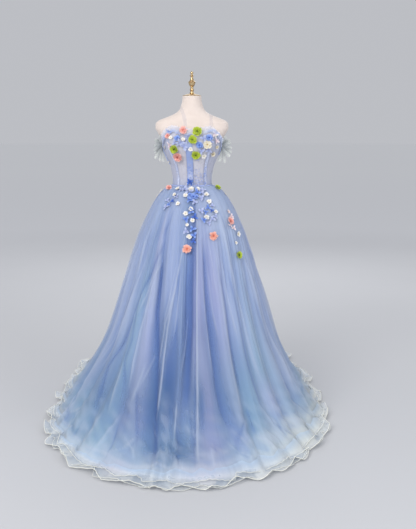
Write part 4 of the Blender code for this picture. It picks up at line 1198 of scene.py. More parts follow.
def frill_grid(first, last, pitch, rows, seed, scale, least, most, over):
    """The frill's grid, even along the hem: it starts on the skirt's foot and runs out into uneven corners."""
    turns = np.linspace(first, last, 2400)
    hem, deep, theta = skirt_surface(turns, np.full(turns.shape, 0.010))
    run = np.concatenate([[0], np.cumsum(np.linalg.norm(np.diff(hem, axis=0), axis=1))])
    count = int(run[-1] / pitch)
    at = np.linspace(0, run[-1], count)
    S = np.interp(at, run, turns)
    hem = np.stack([np.interp(at, run, hem[:, k]) for k in range(3)], -1)
    theta = np.interp(at, run, theta)
    flat = hem * np.array([1, 1, 0])
    flat /= np.linalg.norm(flat, axis=1)[:, None]
    side = np.stack([-flat[:, 1], flat[:, 0], np.zeros(count)], -1)
    turn = (theta + 180) % 360 - 180
    reach = np.array([monotone(FRILL_REACH, t, 1) for t in turn]) / 1000 * scale
    tall = np.array([monotone(FRILL_REACH, t, 2) for t in turn]) / 1000 * scale
    corners = frill_corners(run[-1], seed, least, most)
    ends = smoothstep(0.0, 0.03, at) * smoothstep(run[-1], run[-1] - 0.03, at)

    def line(k, rest):
        v = np.interp(at, [c[0] for c in corners], [c[k] for c in corners])
        v = np.convolve(np.pad(v, 2, mode="edge"), (0.12, 0.22, 0.32, 0.22, 0.12), "valid")
        return rest + (v - rest) * ends

    far, high, lean = line(1, 0.9), line(2, 0.1), line(3, 0.0)
    # painted shade of the facets between corners: one flat tone each, light and dark in turn like the lit and
    # turned-away sides of folds
    stops, tones = [], []
    for a, b in zip(corners, corners[1:]):
        stops += [a[0] + 0.004, b[0] - 0.004]
        tones += [a[4], a[4] * 0.6 + b[4] * 0.2]
    shade = 0.3 + (np.interp(at, stops, tones) - 0.3) * ends
    ripple = np.sin(at * 2 * math.pi / 0.031 + seed + 2.0 * np.sin(at * 9))
    grid = []
    for k in range(over):
        t = k / over
        z = 0.010 + (pale_foot(theta) * 0.66 - 0.010) * (1 - t)
        p = skirt_surface(S, z)[0] + flat * (0.004 + 0.002 * t) + np.array([0, 0, 0.0055])
        p += flat * (0.0012 * ripple)[:, None]
        grid.append(p)
    for t in np.linspace(0, 1, rows - over):
        out = reach * t * far + (0.002 if over else -0.014)
        p = hem + flat * out[:, None] + side * (lean * 0.5 * (least + most) * t ** 1.5)[:, None]
        up = tall * high * t ** 1.25 * 1.35 + 0.0015 * ripple * t * (0.3 + high)
        p[:, 2] = hem[:, 2] * (1 - 0.6 * smoothstep(0, 0.6, t)) + (0.0055 * (1 - t) if over else 0.0) + up
        p[:, 2] = np.maximum(p[:, 2], 0.0035)
        grid.append(p)
    return np.array(grid), at, shade, theta


def build_frill():
    sheer = tulle("frill_organza", 0.58, 0.10, rough=0.6, sheen=0.5, mesh_scale=900.0)
    under = tulle("frill_under_organza", 0.42, 0.12, rough=0.7, sheen=0.3)
    wire = woven("frill_wire_thread", colour(240, 240, 230), colour(224, 224, 212), rough=0.55, scale=1600.0)
    for place, (name, first, last) in enumerate(THIRDS):
        G, S, fold, theta = frill_grid(first, last, 0.0045, 15, 7 + place, 0.92, 0.042, 0.125, 4)
        t = np.linspace(0, 1, 15)[:, None] * np.ones(len(S))
        tint = blend_colours(np.broadcast_to(foot_tone(theta), t.shape + (3,)), colour(244, 245, 241), t)
        tint = blend_colours(tint, colour(168, 192, 220), 0.75 * smoothstep(0.30, 0.0, t))
        # painted shade on the folds' facets
        tint = blend_colours(tint, colour(150, 168, 190), 0.80 * fold[None, :] * smoothstep(0.20, 0.60, t))
        ob = sheet_object("frill_" + name, G, sheer, tint,
                          np.stack([np.broadcast_to(S, t.shape) * 8, t * 0.2, t], -1))
        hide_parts("hem_frill_" + name)
        declare(ob, G)
        v, f = tube(G[-1], 0.0014, 6)
        joined("frill_edge_" + name, [(v, f, 0, 1.0)], [wire])

        G, S, fold, theta = frill_grid(first, last, 0.0050, 10, 53 + place, 0.62, 0.050, 0.140, 0)
        G[..., 2] = np.maximum(G[..., 2] * 1.25 + 0.006, 0.010)
        t = np.linspace(0, 1, 10)[:, None] * np.ones(len(S))
        tint = blend_colours(colour(196, 210, 228), colour(238, 240, 238), t)
        # painted shade on the folds' facets
        tint = blend_colours(tint, colour(156, 176, 202), 0.8 * fold[None, :] * t)
        ob = sheet_object("frill_over_" + name, G, under, tint,
                          np.stack([np.broadcast_to(S, t.shape) * 8, t * 0.2, t], -1))
        declare(ob, G)
        v, f = tube(G[-1], 0.0010, 5)
        joined("frill_over_edge_" + name, [(v, f, 0, 1.0)], [wire])

        G, S, fold, theta = frill_grid(first, last, 0.0060, 9, 31 + place, 1.10, 0.060, 0.150, 0)
        G[..., 2] = np.maximum(G[..., 2] * 0.75, 0.0025)
        t = np.linspace(0, 1, 9)[:, None] * np.ones(len(S))
        tint = blend_colours(colour(178, 194, 214), colour(226, 230, 230), t)
        # painted shade on the folds' facets
        tint = blend_colours(tint, colour(150, 166, 184), 0.5 * fold[None, :] * t)
        ob = sheet_object("frill_under_" + name, G, under, tint,
                          np.stack([np.broadcast_to(S, t.shape) * 8, t * 0.2, t], -1))
        declare(ob, G)
        v, f = tube(G[-1], 0.0009, 5)
        joined("frill_under_edge_" + name, [(v, f, 0, 1.0)], [wire])


# ---------------------------------------------------------------- dress form and stand
def lathe(name, profile, segments, mat, fine=6):
    """Turned piece from (radius, height) pairs, rounded between them."""
    pts = [np.array(p, float) for p in profile]
    pts = [pts[0]] + pts + [pts[-1]]
    line = []
    for i in range(1, len(pts) - 2):
        a, b, c, d = pts[i - 1:i + 3]
        for k in range(fine):
            t = k / fine
            line.append(0.5 * ((2 * b) + (c - a) * t + (2 * a - 5 * b + 4 * c - d) * t * t
                               + (3 * b - a - 3 * c + d) * t ** 3))
    line.append(pts[-1])
    verts, faces = [], []
    for r, z in line:
        r = max(r, 0.0002)
        verts += [(r * math.cos(2 * math.pi * k / segments), r * math.sin(2 * math.pi * k / segments), z)
                  for k in range(segments)]
    rows = len(line)
    for i in range(rows - 1):
        for k in range(segments):
            m = (k + 1) % segments
            faces.append((i * segments + k, i * segments + m, (i + 1) * segments + m, (i + 1) * segments + k))
    faces.append(tuple(range(segments))[::-1])
    faces.append(tuple((rows - 1) * segments + k for k in range(segments)))
    ob = new_object(name, verts, faces, [mat])
    ob.data.set_sharp_from_angle(angle=math.radians(55))
    return ob


def build_form():
    cloth = woven("form_jersey", colour(221, 208, 200), colour(213, 199, 190), scale=1300.0, rough=0.85, sheen=0.35)
    zs = []
    for a, b in zip(FORM, FORM[1:]):
        zs += [a[0] + (b[0] - a[0]) * k / 5 for k in range(5)]
    zs.append(FORM[-1][0])
    cols = 112
    rows = [[form_point(360.0 * k / cols, z) for k in range(cols)] for z in zs]
    verts = [tuple(p) for row in rows for p in row]
    faces = []
    for i in range(len(rows) - 1):
        for k in range(cols):
            m = (k + 1) % cols
            faces.append((i * cols + k, i * cols + m, (i + 1) * cols + m, (i + 1) * cols + k))
    faces.append(tuple(range(cols))[::-1])
    faces.append(tuple((len(rows) - 1) * cols + k for k in range(cols)))
    ob = new_object("form_cover", verts, faces, [cloth])
    ob.data.set_sharp_from_angle(angle=math.radians(50))
    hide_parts("form_torso")

    brass = metal("finial_brass", colour(228, 204, 158), colour(158, 122, 84), rough=0.22, scale=110.0)
    dull = metal("cap_brass", colour(212, 188, 146), colour(160, 130, 96), rough=0.42, scale=110.0)
    cap = lathe("neck_cap", ((0.0458, 1.6904), (0.0462, 1.6920), (0.0440, 1.6936), (0.0375, 1.6950), (0.0300, 1.6968),
                             (0.0240, 1.6990), (0.0170, 1.7003), (0.0130, 1.7010)), 72, dull, 4)
    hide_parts("form_neck_cap")
    fin = lathe("finial", (
        (0.0105, 1.7012), (0.0118, 1.7040), (0.0112, 1.7075), (0.0086, 1.7105), (0.0084, 1.7150), (0.0100, 1.7185),
        (0.0104, 1.7215), (0.0096, 1.7250), (0.0074, 1.7280), (0.0074, 1.7320), (0.0092, 1.7360), (0.0128, 1.7420),
        (0.0160, 1.7490), (0.0178, 1.7555), (0.0182, 1.7590), (0.0160, 1.7615), (0.0122, 1.7648), (0.0096, 1.7695),
        (0.0078, 1.7758), (0.0062, 1.7816), (0.0058, 1.7850), (0.0096, 1.7875), (0.0112, 1.7893), (0.0098, 1.7912),
        (0.0058, 1.7935), (0.0050, 1.7958), (0.0066, 1.7990), (0.0076, 1.8028), (0.0068, 1.8070), (0.0040, 1.8103),
        (0.0012, 1.8118)), 64, brass, 3)
    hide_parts("form_finial")

    paint = Shader("stand_paint", rough=0.4, specular=0.5)
    v = paint.position((1, 1, 1))
    speck = paint.noise(v, 500.0, 3.0, 0.6)
    mat = paint.finish(base=paint.ramp(speck, ((0.35, colour(222, 220, 216)), (0.65, colour(232, 231, 228)))),
                       rough=paint.ramp(speck, ((0.3, (0.34,) * 3), (0.7, (0.46,) * 3))),
                       normal=paint.bump(speck, 0.1, 0.0003))
    base = lathe("stand_foot_plate", (
        (0.1770, 0.0), (0.1792, 0.0012), (0.1800, 0.0032), (0.1800, 0.0095), (0.1790, 0.0125), (0.1762, 0.0139),
        (0.1500, 0.0143), (0.0900, 0.0158), (0.0450, 0.0176), (0.0340, 0.0200), (0.0262, 0.0240), (0.0245, 0.0300),
        (0.0240, 0.0422)), 96, mat, 3)
    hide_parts("stand_base")
    pole = lathe("stand_pole_tube", (
        (0.0140, 0.0426), (0.0140, 0.0600), (0.0140, 0.3000), (0.0140, 0.4900), (0.0152, 0.4960), (0.0160, 0.5000),
        (0.0160, 0.5300), (0.0152, 0.5340), (0.0140, 0.5400), (0.0140, 0.7500), (0.0140, 0.9645)), 40, mat, 3)
    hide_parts("stand_pole")


# ---------------------------------------------------------------- bodice
PANELS = (
    # name, first and last angle, lean to blue
    ("front_left", -44, -5, 0.10),
    ("front_right", -5, 40, 0.05),
    ("side_left", -100, -44, 0.42),
    ("side_right", 40, 100, 0.36),
    ("back_left", -177.6, -100, 0.45),
    ("back_right", 100, 177.6, 0.45),
)


def build_bodice():
    sheer = tulle("corset_net", 0.69, 0.05, rough=0.8, sheen=0.3, mesh_scale=1100.0)
    grey, blue, light = colour(206, 208, 222), colour(170, 186, 226), colour(224, 224, 233)
    for name, a, b, lean in PANELS:
        cols, rows = max(14, int((b - a) / 1.9)), 54
        grid, tint, cloth = [], [], []
        for i in range(rows + 1):
            r = i / rows
            row, trow, crow = [], [], []
            for j in range(cols + 1):
                f = j / cols
                phi = a + (b - a) * f
                z = bodice_z(phi, r)
                edge = min(f, 1 - f) * (b - a)
                seam = math.exp(-(edge / 2.2) ** 2)
                pucker = 0.00035 * math.sin(z * 900 + phi) * math.exp(-(edge / 5.0) ** 2)
                strain = 0.0006 * math.sin(phi * 0.55 + z * 46) * step(1.25, 1.30, z)
                row.append(tuple(bodice_point(phi, z, BODICE_OUT - 0.0012 + 0.0007 * seam + pucker + strain)))
                lean_here = lean + 0.45 * seam + 0.35 * step(1.30, 1.245, z) + 0.18 * step(1.40, 1.47, z)
                trow.append(blend_colours(grey, blue, lean_here))
                trow[-1] = blend_colours(trow[-1], light, 0.45 * step(1.28, 1.36, z) * (1 - min(1, lean * 2)))
                crow.append((phi * 0.05, z * 2, 0))
            grid.append(row)
            tint.append(trow)
            cloth.append(crow)
        ob = sheet_object("corset_" + name, grid, sheer, np.array(tint), np.array(cloth))
        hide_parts("bodice_" + name)
        declare(ob, grid)


def ribbon(name, node, path, half, mat, lift, tint_fn, columns=13, thick=0.0010, piping=0.0006):
    """A band over the bodice: path gives (angle, height) pairs of its middle, half its half width in metres."""
    outer, inner, tint = [], [], []
    for k, (phi, z) in enumerate(path):
        p0, p1 = path[max(k - 1, 0)], path[min(k + 1, len(path) - 1)]
        d = bodice_point(p1[0], p1[1], lift) - bodice_point(p0[0], p0[1], lift)
        d.normalize()
        p, n = bodice_frame(phi, z)
        across = d.cross(n).normalized()
        if across.x * math.cos(math.radians(phi)) + across.y * math.sin(math.radians(phi)) < 0:
            across = -across
        h = half(k / (len(path) - 1)) if callable(half) else half
        turn = bodice_point(phi + 1, z, lift) - bodice_point(phi - 1, z, lift)
        per_degree = turn.length / 2
        turn.normalize()
        hi, lo, tr = [], [], []
        for j in range(columns):
            v = 2 * j / (columns - 1) - 1
            e = v * h * across.dot(turn) / per_degree
            zz = z + across.z * v * h
            ridge = math.exp(-((abs(v) - 0.78) / 0.13) ** 2)
            crown = piping * ridge + 0.0004 * (1 - v * v)
            hi.append(tuple(bodice_point(phi + e, zz, lift + thick + crown)))
            lo.append(tuple(bodice_point(phi + e, zz, lift)))
            tr.append(tint_fn(k / (len(path) - 1), v, zz))
        outer.append(hi)
        inner.append(lo)
        tint.append(tr)
    ob = wall_object(name, outer, inner, mat, np.array(tint))
    if node:
        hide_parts(node)
    declare(ob, outer)
    return ob


def build_bands():
    satin = woven("band_satin", (1.0, 1.0, 1.0), (0.9, 0.9, 0.92), scale=1500.0, rough=0.55, sheen=0.3, specular=0.4,
                  tinted=True)
    strong, soft, pale = colour(142, 159, 204), colour(166, 177, 212), colour(200, 205, 222)

    def centre_tint(t, v, z):
        c = blend_colours(soft, strong, math.exp(-((z - 1.375) / 0.055) ** 2) + 0.25)
        c = blend_colours(c, pale, 0.75 * step(1.33, 1.27, z) * (0.5 + 0.5 * math.cos(3 * v)))
        return blend_colours(c, colour(116, 138, 200), 0.5 * math.exp(-((abs(v) - 0.93) / 0.09) ** 2))

    path = [(-5.0, bodice_z(-5.0, 0.004 + 0.97 * k / 60)) for k in range(61)]
    ribbon("ribbon_centre", "band_centre", path, lambda t: 0.0150 + 0.0015 * t, satin, BODICE_OUT + BAND_LIFT,
           centre_tint)

    def side_tint(t, v, z):
        c = blend_colours(colour(174, 184, 214), colour(192, 198, 219), 0.5 + 0.4 * math.cos(4 * v))
        # a pale stripe down the band's middle: white piping with a painted highlight along it
        return blend_colours(c, colour(222, 226, 238), 0.75 * math.exp(-((v - 0.1) / 0.14) ** 2))

    for name, node, foot, head, top in (("ribbon_left", "band_front_left", -42.5, -45.0, 0.76),
                                        ("ribbon_right", "band_front_right", 41.5, 31.0, 0.76)):
        path = []
        for k in range(49):
            r = 0.004 + top * k / 48
            mid = foot + (head - foot) * min(1.0, r / 0.7)
            path.append((mid, bodice_z(mid, r)))
        ribbon(name, node, path, 0.0075, satin, BODICE_OUT + BAND_LIFT, side_tint, 11)

    # bindings: along the cup's top edge, then down its outer side
    def edge_tint(t, v, z):
        return blend_colours(colour(98, 128, 204), colour(150, 172, 222), 0.5 + 0.5 * math.cos(6 * v))

    cups = (
        # name, node, (angle, height) of the line's points
        ("binding_left", "cup_binding_left", ((-24, 1.520), (-38, 1.507), (-55, 1.482), (-68, 1.462), (-76, 1.440),
                                              (-78, 1.415), (-76, 1.385), (-73, 1.350))),
        ("binding_right", "cup_binding_right", ((20, 1.512), (30, 1.520), (38, 1.508), (52, 1.490), (64, 1.474),
                                                (73, 1.452), (76, 1.425), (73, 1.395))),
    )
    for name, node, knots in cups:
        ks = [(float(i), a, z) for i, (a, z) in enumerate(knots)]
        path = [(monotone(ks, u, 1), monotone(ks, u, 2)) for u in np.linspace(0, len(knots) - 1, 60)]
        ribbon(name, node, path, lambda t: 0.0042 - 0.0012 * t, satin, BODICE_OUT + 0.0030, edge_tint, 9,
               piping=0.0009)

    # waist seam: a narrow folded edge where bodice and skirt meet
    cols = 260
    grid = []
    for k in range(5):
        lift = (0.0052, 0.0062, 0.0066, 0.0062, 0.0052)[k]
        grid.append([tuple(bodice_point(360 * j / cols, 1.2452 - 0.0018 * k, lift + 0.0003 * math.sin(j * 1.7)))
                     for j in range(cols)])
    grid = np.array(grid)
    seam = woven("waist_seam_net", colour(170, 184, 226), colour(150, 168, 220), scale=1400.0, rough=0.8)
    ob = sheet_object("waist_seam", grid, seam, closed=True)


# how far the gathered frill stands above the bodice's top edge
NECK_FRILL = (
    # phi   above mm
    (-90, 5), (-78, 20), (-60, 21), (-42, 20), (-26, 18), (-10, 21), (4, 22), (18, 18), (29, 9), (38, 4), (58, 3),
    (72, 4), (86, 3),
)


def build_neckline():
    net = tulle("neckline_net", 0.55, 0.10, rough=0.8, sheen=0.4, mesh_scale=1000.0)
    cols, rows = 320, 12
    grid, tint, cloth = [], [], []
    for i in range(rows + 1):
        t = i / rows
        row, trow, crow = [], [], []
        for j in range(cols + 1):
            phi = -89 + 174 * j / cols
            above = monotone(NECK_FRILL, phi, 1) / 1000 * (1 + 0.10 * math.sin(phi * 0.9))
            z = top_z(phi) - 0.015 + (0.015 + above) * t
            wave = math.sin(phi * 0.62 + 0.9 * math.sin(phi * 0.11)) * 0.0030 * t + math.sin(phi * 1.9) * 0.0008 * t
            # high up, the frill keeps to the bodice's line instead of following the form inward
            base = bodice_point(phi, min(z, top_z(phi)), BODICE_OUT + 0.0060 + wave + 0.003 * t)
            out = Vector((base.x, base.y, 0)).normalized()
            p = base + out * (0.002 * t) + Vector((0, 0, max(0.0, z - top_z(phi))))
            row.append(tuple(p))
            white = math.exp(-((phi - 4) / 20) ** 2)
            low = blend_colours(colour(190, 204, 236), colour(212, 217, 230), white)
            trow.append(blend_colours(low, colour(224, 228, 240), t))
            crow.append((phi * 0.12, t * 0.3, 0))
        grid.append(row)
        tint.append(trow)
        cloth.append(crow)
    ob = sheet_object("neckline_ruffle", grid, net, np.array(tint), np.array(cloth))
    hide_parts("neckline_frill")
    declare(ob, grid)


def on_form(x, z, back):
    a, d, n = monotone(FORM, z, 1), monotone(FORM, z, 3 if back else 2), monotone(FORM, z, 4)
    y = d * max(0.0, 1 - (abs(x) / a) ** n) ** (1 / n)
    p = Vector((x, y if back else -y, z))
    e = 0.0015

    def value(px, py, pz):
        aa, dd, nn = monotone(FORM, pz, 1), monotone(FORM, pz, 3 if py > 0 else 2), monotone(FORM, pz, 4)
        return (abs(px) / aa) ** nn + (abs(py) / dd) ** nn

    g = Vector((value(p.x + e, p.y, p.z) - value(p.x - e, p.y, p.z),
                value(p.x, p.y + e, p.z) - value(p.x, p.y - e, p.z),
                value(p.x, p.y, p.z + e) - value(p.x, p.y, p.z - e)))
    return p, g.normalized()


def shoulder_z(x):
    lo, hi = 1.555, 1.680
    for _ in range(30):
        mid = (lo + hi) / 2
        if monotone(FORM, mid, 1) > abs(x) + 0.0015:
            lo = mid
        else:
            hi = mid
    return lo


def build_straps():
    net = tulle("strap_net", 0.20, 0.04, rough=0.8, sheen=0.3, mesh_scale=1100.0)
    for name, xf, zf, xt, xb, zb in (("strap_left", -0.034, 1.530, -0.058, -0.085, 1.448),
                                     ("strap_right", 0.096, 1.536, 0.094, 0.085, 1.448)):
        zt = shoulder_z(xt)
        path, count = [], 30
        for k in range(count):
            t = math.sin(math.pi / 2 * k / (count - 1))
            path.append(on_form(xf + (xt - xf) * t ** 2.5, zf + (zt - zf) * t, False))
        for k in range(count - 1, -1, -1):
            t = math.sin(math.pi / 2 * k / (count - 1))
            path.append(on_form(xb + (xt - xb) * t, zb + (zt - zb) * t, True))
        grid, tint = [], []
        last = None
        for k, (p, n) in enumerate(path):
            before, after = path[max(k - 2, 0)][0], path[min(k + 2, len(path) - 1)][0]
            side = (after - before).cross(n).normalized()
            if side.x < 0:
                side = -side
            row = []
            for v in np.linspace(-1, 1, 9):
                row.append(tuple(p + n * (0.0024 + 0.0003 * math.cos(v * 9)) + side * 0.009 * v))
            grid.append(row)
            edge = np.abs(np.linspace(-1, 1, 9))
            tint.append(blend_colours(colour(206, 204, 212), colour(216, 216, 226), edge))
        ob = sheet_object("sheer_" + name, grid, net, np.array(tint), None)
        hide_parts(name)
        declare(ob, grid)


def build_fans():
    net = tulle("fan_net", 0.20, 0.10, rough=0.7, sheen=0.4, mesh_scale=1000.0)
    ribbon_net = tulle("fan_ribbon_net", 0.74, 0.08, rough=0.7, sheen=0.4, mesh_scale=1000.0)
    edge_mat = woven("fan_edge_thread", colour(206, 216, 212), colour(184, 198, 194), rough=0.6, scale=1500.0)
    # name, side, then (angle, length mm) round the fan
    fans = (
        ("left", -1, ((-98, 74), (-80, 78), (-45, 56), (-10, 44), (20, 44), (45, 50), (74, 60))),
        ("right", 1, ((-98, 72), (-80, 76), (-45, 60), (-10, 54), (20, 54), (45, 55), (74, 58))),
    )
    for name, side, lengths in fans:
        parts_edge = []
        for tier, (count, scale, depth, shift, turn) in enumerate(((7, 0.80, 0.010, 0.0, 0.0),)):
            per = 8
            rng = random.Random(17 * tier + (3 if side > 0 else 8))
            long = [rng.uniform(0.84, 1.08) for _ in range(count + 3)]
            lean = [rng.uniform(-3.5, 3.5) for _ in range(count + 3)]
            bow = [rng.uniform(-0.012, 0.012) for _ in range(count + 3)]
            grid, tint, cloth = [], [], []
            for i in range(11):
                r = 0.06 + 0.94 * i / 10
                row, trow, crow = [], [], []
                for j in range(count * per + 1):
                    t = j / (count * per)
                    fold = j / per
                    k = int(fold)
                    f = fold - k
                    f = f * f * (3 - 2 * f)
                    wave = math.cos(math.pi * fold)
                    wave = math.copysign(abs(wave) ** 0.6, wave)
                    mix = [a[k] * (1 - f) + a[k + 1] * f for a in (long, lean, bow)]
                    deg = 74 - 172 * t + mix[1] * r + turn
                    ang = math.radians(deg)
                    reach = monotone(lengths, max(-98, min(74, deg)), 1) / 1000 * scale * mix[0]
                    root = Vector((side * (0.1515 - 0.003 * t), -0.038 + 0.012 * t + shift * 0.35, 1.449 - 0.012 * t))
                    d = Vector((side * math.cos(ang), 0, math.sin(ang)))
                    across = Vector((-side * math.sin(ang), 0, math.cos(ang)))
                    p = (root + d * reach * r * (1 - 0.10 * r * r * (0.5 - 0.5 * wave))
                         + across * 0.0035 * r * math.sin(2 * math.pi * fold)
                         + Vector((0, wave * depth * r + mix[2] * r * r + shift * r * 0.9 + 0.012 * r, 0)))
                    p.z = p.z - 0.010 * r * r * (0.4 + 0.6 * abs(math.cos(ang)))
                    row.append(tuple(p))
                    c = blend_colours(colour(96, 114, 122), colour(138, 154, 156), r)
                    trow.append(blend_colours(c, colour(84, 102, 110), 0.5 * (0.5 - 0.5 * wave)))
                    crow.append((fold, r * 0.2, 0))
                grid.append(row)
                tint.append(trow)
                cloth.append(crow)
            ob = sheet_object("fan_%s_%d" % (name, tier + 1), grid, net, np.array(tint), np.array(cloth))
            if tier == 0:
                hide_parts("shoulder_fan_" + name)
            declare(ob, grid)
            v, f = tube(grid[-1], 0.0005, 4)
            parts_edge.append((v, f, 0, 1.0))
        # loose ribbons of net over the pleats, each folded down its middle
        rng = random.Random(31 if side > 0 else 77)
        bits = []
        for k in range(9):
            t = k / 8
            deg = 72 - 168 * t + rng.uniform(-5, 5)
            reach = monotone(lengths, max(-98, min(74, deg)), 1) / 1000 * rng.uniform(0.88, 1.06)
            ang = math.radians(deg)
            root = np.array([side * (0.1520 - 0.003 * t), -0.040 + 0.012 * t + 0.004 * (k % 3), 1.449 - 0.012 * t])
            d = np.array([side * math.cos(ang), 0.0, math.sin(ang)])
            across = np.array([-side * math.sin(ang), 0.0, math.cos(ang)])
            wide = rng.uniform(0.0074, 0.0100)
            bend = rng.uniform(-0.009, 0.008)
            deep = rng.uniform(-0.016, 0.010)
            verts = []
            for i in range(9):
                r = 0.06 + 0.94 * i / 8
                tip = 1 - 0.25 * max(0.0, r - 0.85) / 0.15
                for j in range(5):
                    v = (j - 2) / 2
                    q = (root + d * reach * r + across * (wide * v * (0.25 + 0.75 * r) * tip + bend * r * r)
                         + np.array([0, deep * r + 0.004 * abs(v) * r - 0.004 * math.sin(2.4 * r), -0.008 * r * r]))
                    verts.append(q)
            verts = np.array(verts)
            bits.append((verts, grid_faces(9, 5), 0, 0.5))
        ob = joined("fan_ribbons_" + name, bits, [ribbon_net])
        count = len(ob.data.vertices)
        co = np.empty(count * 3, np.float32)
        ob.data.vertices.foreach_get("co", co)
        co = co.reshape(-1, 3)
        away = np.linalg.norm(co - np.array([side * 0.15, -0.034, 1.443]), axis=1) / 0.07
        set_colour(ob, "tint", blend_colours(colour(122, 132, 138), colour(212, 215, 210), away ** 1.1))
        set_vector(ob, "cloth", np.stack([co[:, 2] * 30, away * 0.2, away], -1))
        joined("fan_edge_" + name, parts_edge, [edge_mat])


# ---------------------------------------------------------------- flowers
def petal(origin, out, up, length, width, cup_, curl, notch, ruffle, phase, nu=7, nv=6):
    """One petal: a thin cupped leaf of cloth that grows from origin along out."""
    side = np.cross(up, out)
    verts, val = [], []
    for i in range(nu + 1):
        u = i / nu
        if u < 0.62:
            half = width * math.sqrt(max(0.0, 1 - ((u - 0.62) / 0.64) ** 2))
        else:
            half = width * math.sqrt(max(0.0, 1 - ((u - 0.62) / 0.41) ** 2))
        half = max(half, width * 0.10)
        for j in range(nv + 1):
            v = 2 * j / nv - 1
            along = length * u * (1 - notch * (1 - abs(v)) ** 1.5 * u ** 5)
            rise = (cup_ * length * u ** 1.4 - curl * length * max(0.0, u - 0.55) ** 1.6
                    + 0.22 * half * v * v * (1 - 0.5 * u)
                    + ruffle * length * u ** 2.5 * math.sin(4.2 * v + phase))
            verts.append(origin + out * along + side * (half * v) + up * rise)
            val.append(u)
    return np.array(verts), grid_faces(nu + 1, nv + 1), np.array(val)


def bead(centre, radius, up):
    a = np.cross(up, [0.3, 0.5, 0.81])
    a /= np.linalg.norm(a)
    b = np.cross(up, a)
    verts = []
    for i in range(1, 4):
        th = math.pi * i / 4
        for k in range(6):
            ph = math.pi * k / 3
            verts.append(centre + radius * (math.sin(th) * (math.cos(ph) * a + math.sin(ph) * b) + math.cos(th) * up))
    verts += [centre + radius * up, centre - radius * up]
    faces = []
    for i in range(2):
        for k in range(6):
            m = (k + 1) % 6
            faces.append([i * 6 + k, (i + 1) * 6 + k, (i + 1) * 6 + m, i * 6 + m])
    for k in range(6):
        m = (k + 1) % 6
        faces.append([18, k, m])
        faces.append([19, 12 + m, 12 + k])
    return np.array(verts), faces


# petals in each whorl, its size, width, cup, curl, tip notch, ruffle, height above the first
STYLES = {
    "lime": ((6, 1.00, 0.46, 0.28, 0.10, 0.02, 0.05, 0.00), (6, 0.80, 0.44, 0.50, 0.12, 0.03, 0.05, 0.06),
             (5, 0.56, 0.42, 0.85, 0.10, 0.03, 0.06, 0.10), (4, 0.34, 0.40, 1.30, 0.05, 0.0, 0.04, 0.12)),
    "rose": ((5, 1.00, 0.50, 0.14, 0.15, 0.16, 0.09, 0.00), (5, 0.74, 0.46, 0.42, 0.15, 0.14, 0.09, 0.08),
             (4, 0.46, 0.42, 0.85, 0.08, 0.08, 0.06, 0.13)),
    "aster": ((9, 1.00, 0.26, 0.10, 0.10, 0.22, 0.05, 0.00), (8, 0.76, 0.25, 0.34, 0.10, 0.20, 0.05, 0.07),
              (6, 0.48, 0.22, 0.75, 0.05, 0.12, 0.04, 0.11)),
    "small": ((5, 1.00, 0.42, 0.22, 0.10, 0.08, 0.04, 0.00),),
    "double": ((5, 1.00, 0.46, 0.18, 0.12, 0.10, 0.08, 0.00), (5, 0.62, 0.42, 0.55, 0.10, 0.06, 0.06, 0.08)),
    "leaf": ((3, 1.00, 0.30, 0.22, 0.20, -0.22, 0.16, 0.00), (2, 0.66, 0.28, 0.50, 0.10, -0.20, 0.14, 0.05)),
}


def bloom(centre, normal, radius, style, seed, fine=True):
    rng = random.Random(seed)
    n = np.array(normal, float)
    n /= np.linalg.norm(n)
    n = n + np.array([rng.uniform(-0.20, 0.20) for _ in range(3)]) * (0.6 if fine else 1.0)
    n /= np.linalg.norm(n)
    u = np.cross([0, 0, 1.0], n)
    u /= np.linalg.norm(u) + 1e-9
    w = np.cross(n, u)
    c = np.array(centre, float)
    spin = rng.uniform(0, 6.28)
    parts = []
    for k, (count, size, width, cup_, curl, notch, ruffle, rise) in enumerate(STYLES[style]):
        for i in range(count):
            a = spin + (i + 0.5 * k) * 2 * math.pi / count + rng.uniform(-0.17, 0.17)
            out = u * math.cos(a) + w * math.sin(a)
            length = radius * size * rng.uniform(0.82, 1.07)
            v, f, t = petal(c + n * (radius * rise + 0.0002 * i), out, n, length, radius * size * width,
                            cup_ * rng.uniform(0.8, 1.25), curl * rng.uniform(0.5, 1.6), notch,
                            ruffle * rng.uniform(0.5, 1.4), rng.uniform(0, 6.28), 7 if fine else 5, 6 if fine else 4)
            parts.append((v, f, 0, np.clip(t * (0.72 + 0.28 * size) + rng.uniform(-0.04, 0.04), 0, 1)))
    # stamens
    heart = {"lime": 9, "rose": 8, "aster": 9, "small": 3, "double": 5, "leaf": 0}[style]
    for i in range(heart):
        a = 2.4 * i
        r = radius * (0.04 + 0.10 * math.sqrt(i / max(1, heart)))
        at = c + (u * math.cos(a) + w * math.sin(a)) * r + n * (radius * 0.20)
        v, f = bead(at, radius * (0.055 if heart > 3 else 0.09), n)
        parts.append((v, f, 1, 0.0))
    return parts


BODICE_BLOOMS = (
    # CAD node, angle, height, lift mm, radius mm, style, cloth
    ("flower_lime_neck", 5, 1.508, 15.5, 24, "lime", "lime"),
    ("flower_lime_centre", 0, 1.467, 13.0, 24, "lime", "lime"),
    ("flower_lime_left", -32, 1.428, 3.5, 23, "lime", "lime"),
    ("flower_lime_low", 6, 1.399, 4.5, 25, "lime", "lime"),
    ("flower_pink_left", -28, 1.394, 12.5, 29, "rose", "pink"),
    ("flower_pink_neck", -10, 1.514, 15.5, 22, "rose", "pink"),
    ("flower_blue_right", 27, 1.480, 4.0, 21, "double", "blue"),
    ("flower_cream_right", 25, 1.447, 12.5, 23, "double", "cream"),
    ("flower_blue_centre", 11, 1.446, 3.5, 20, "double", "blue"),
    ("flower_blue_left", -23, 1.477, 3.5, 18, "double", "blue"),
    ("flower_white_low", 23, 1.395, 3.5, 14, "small", "white"),
)
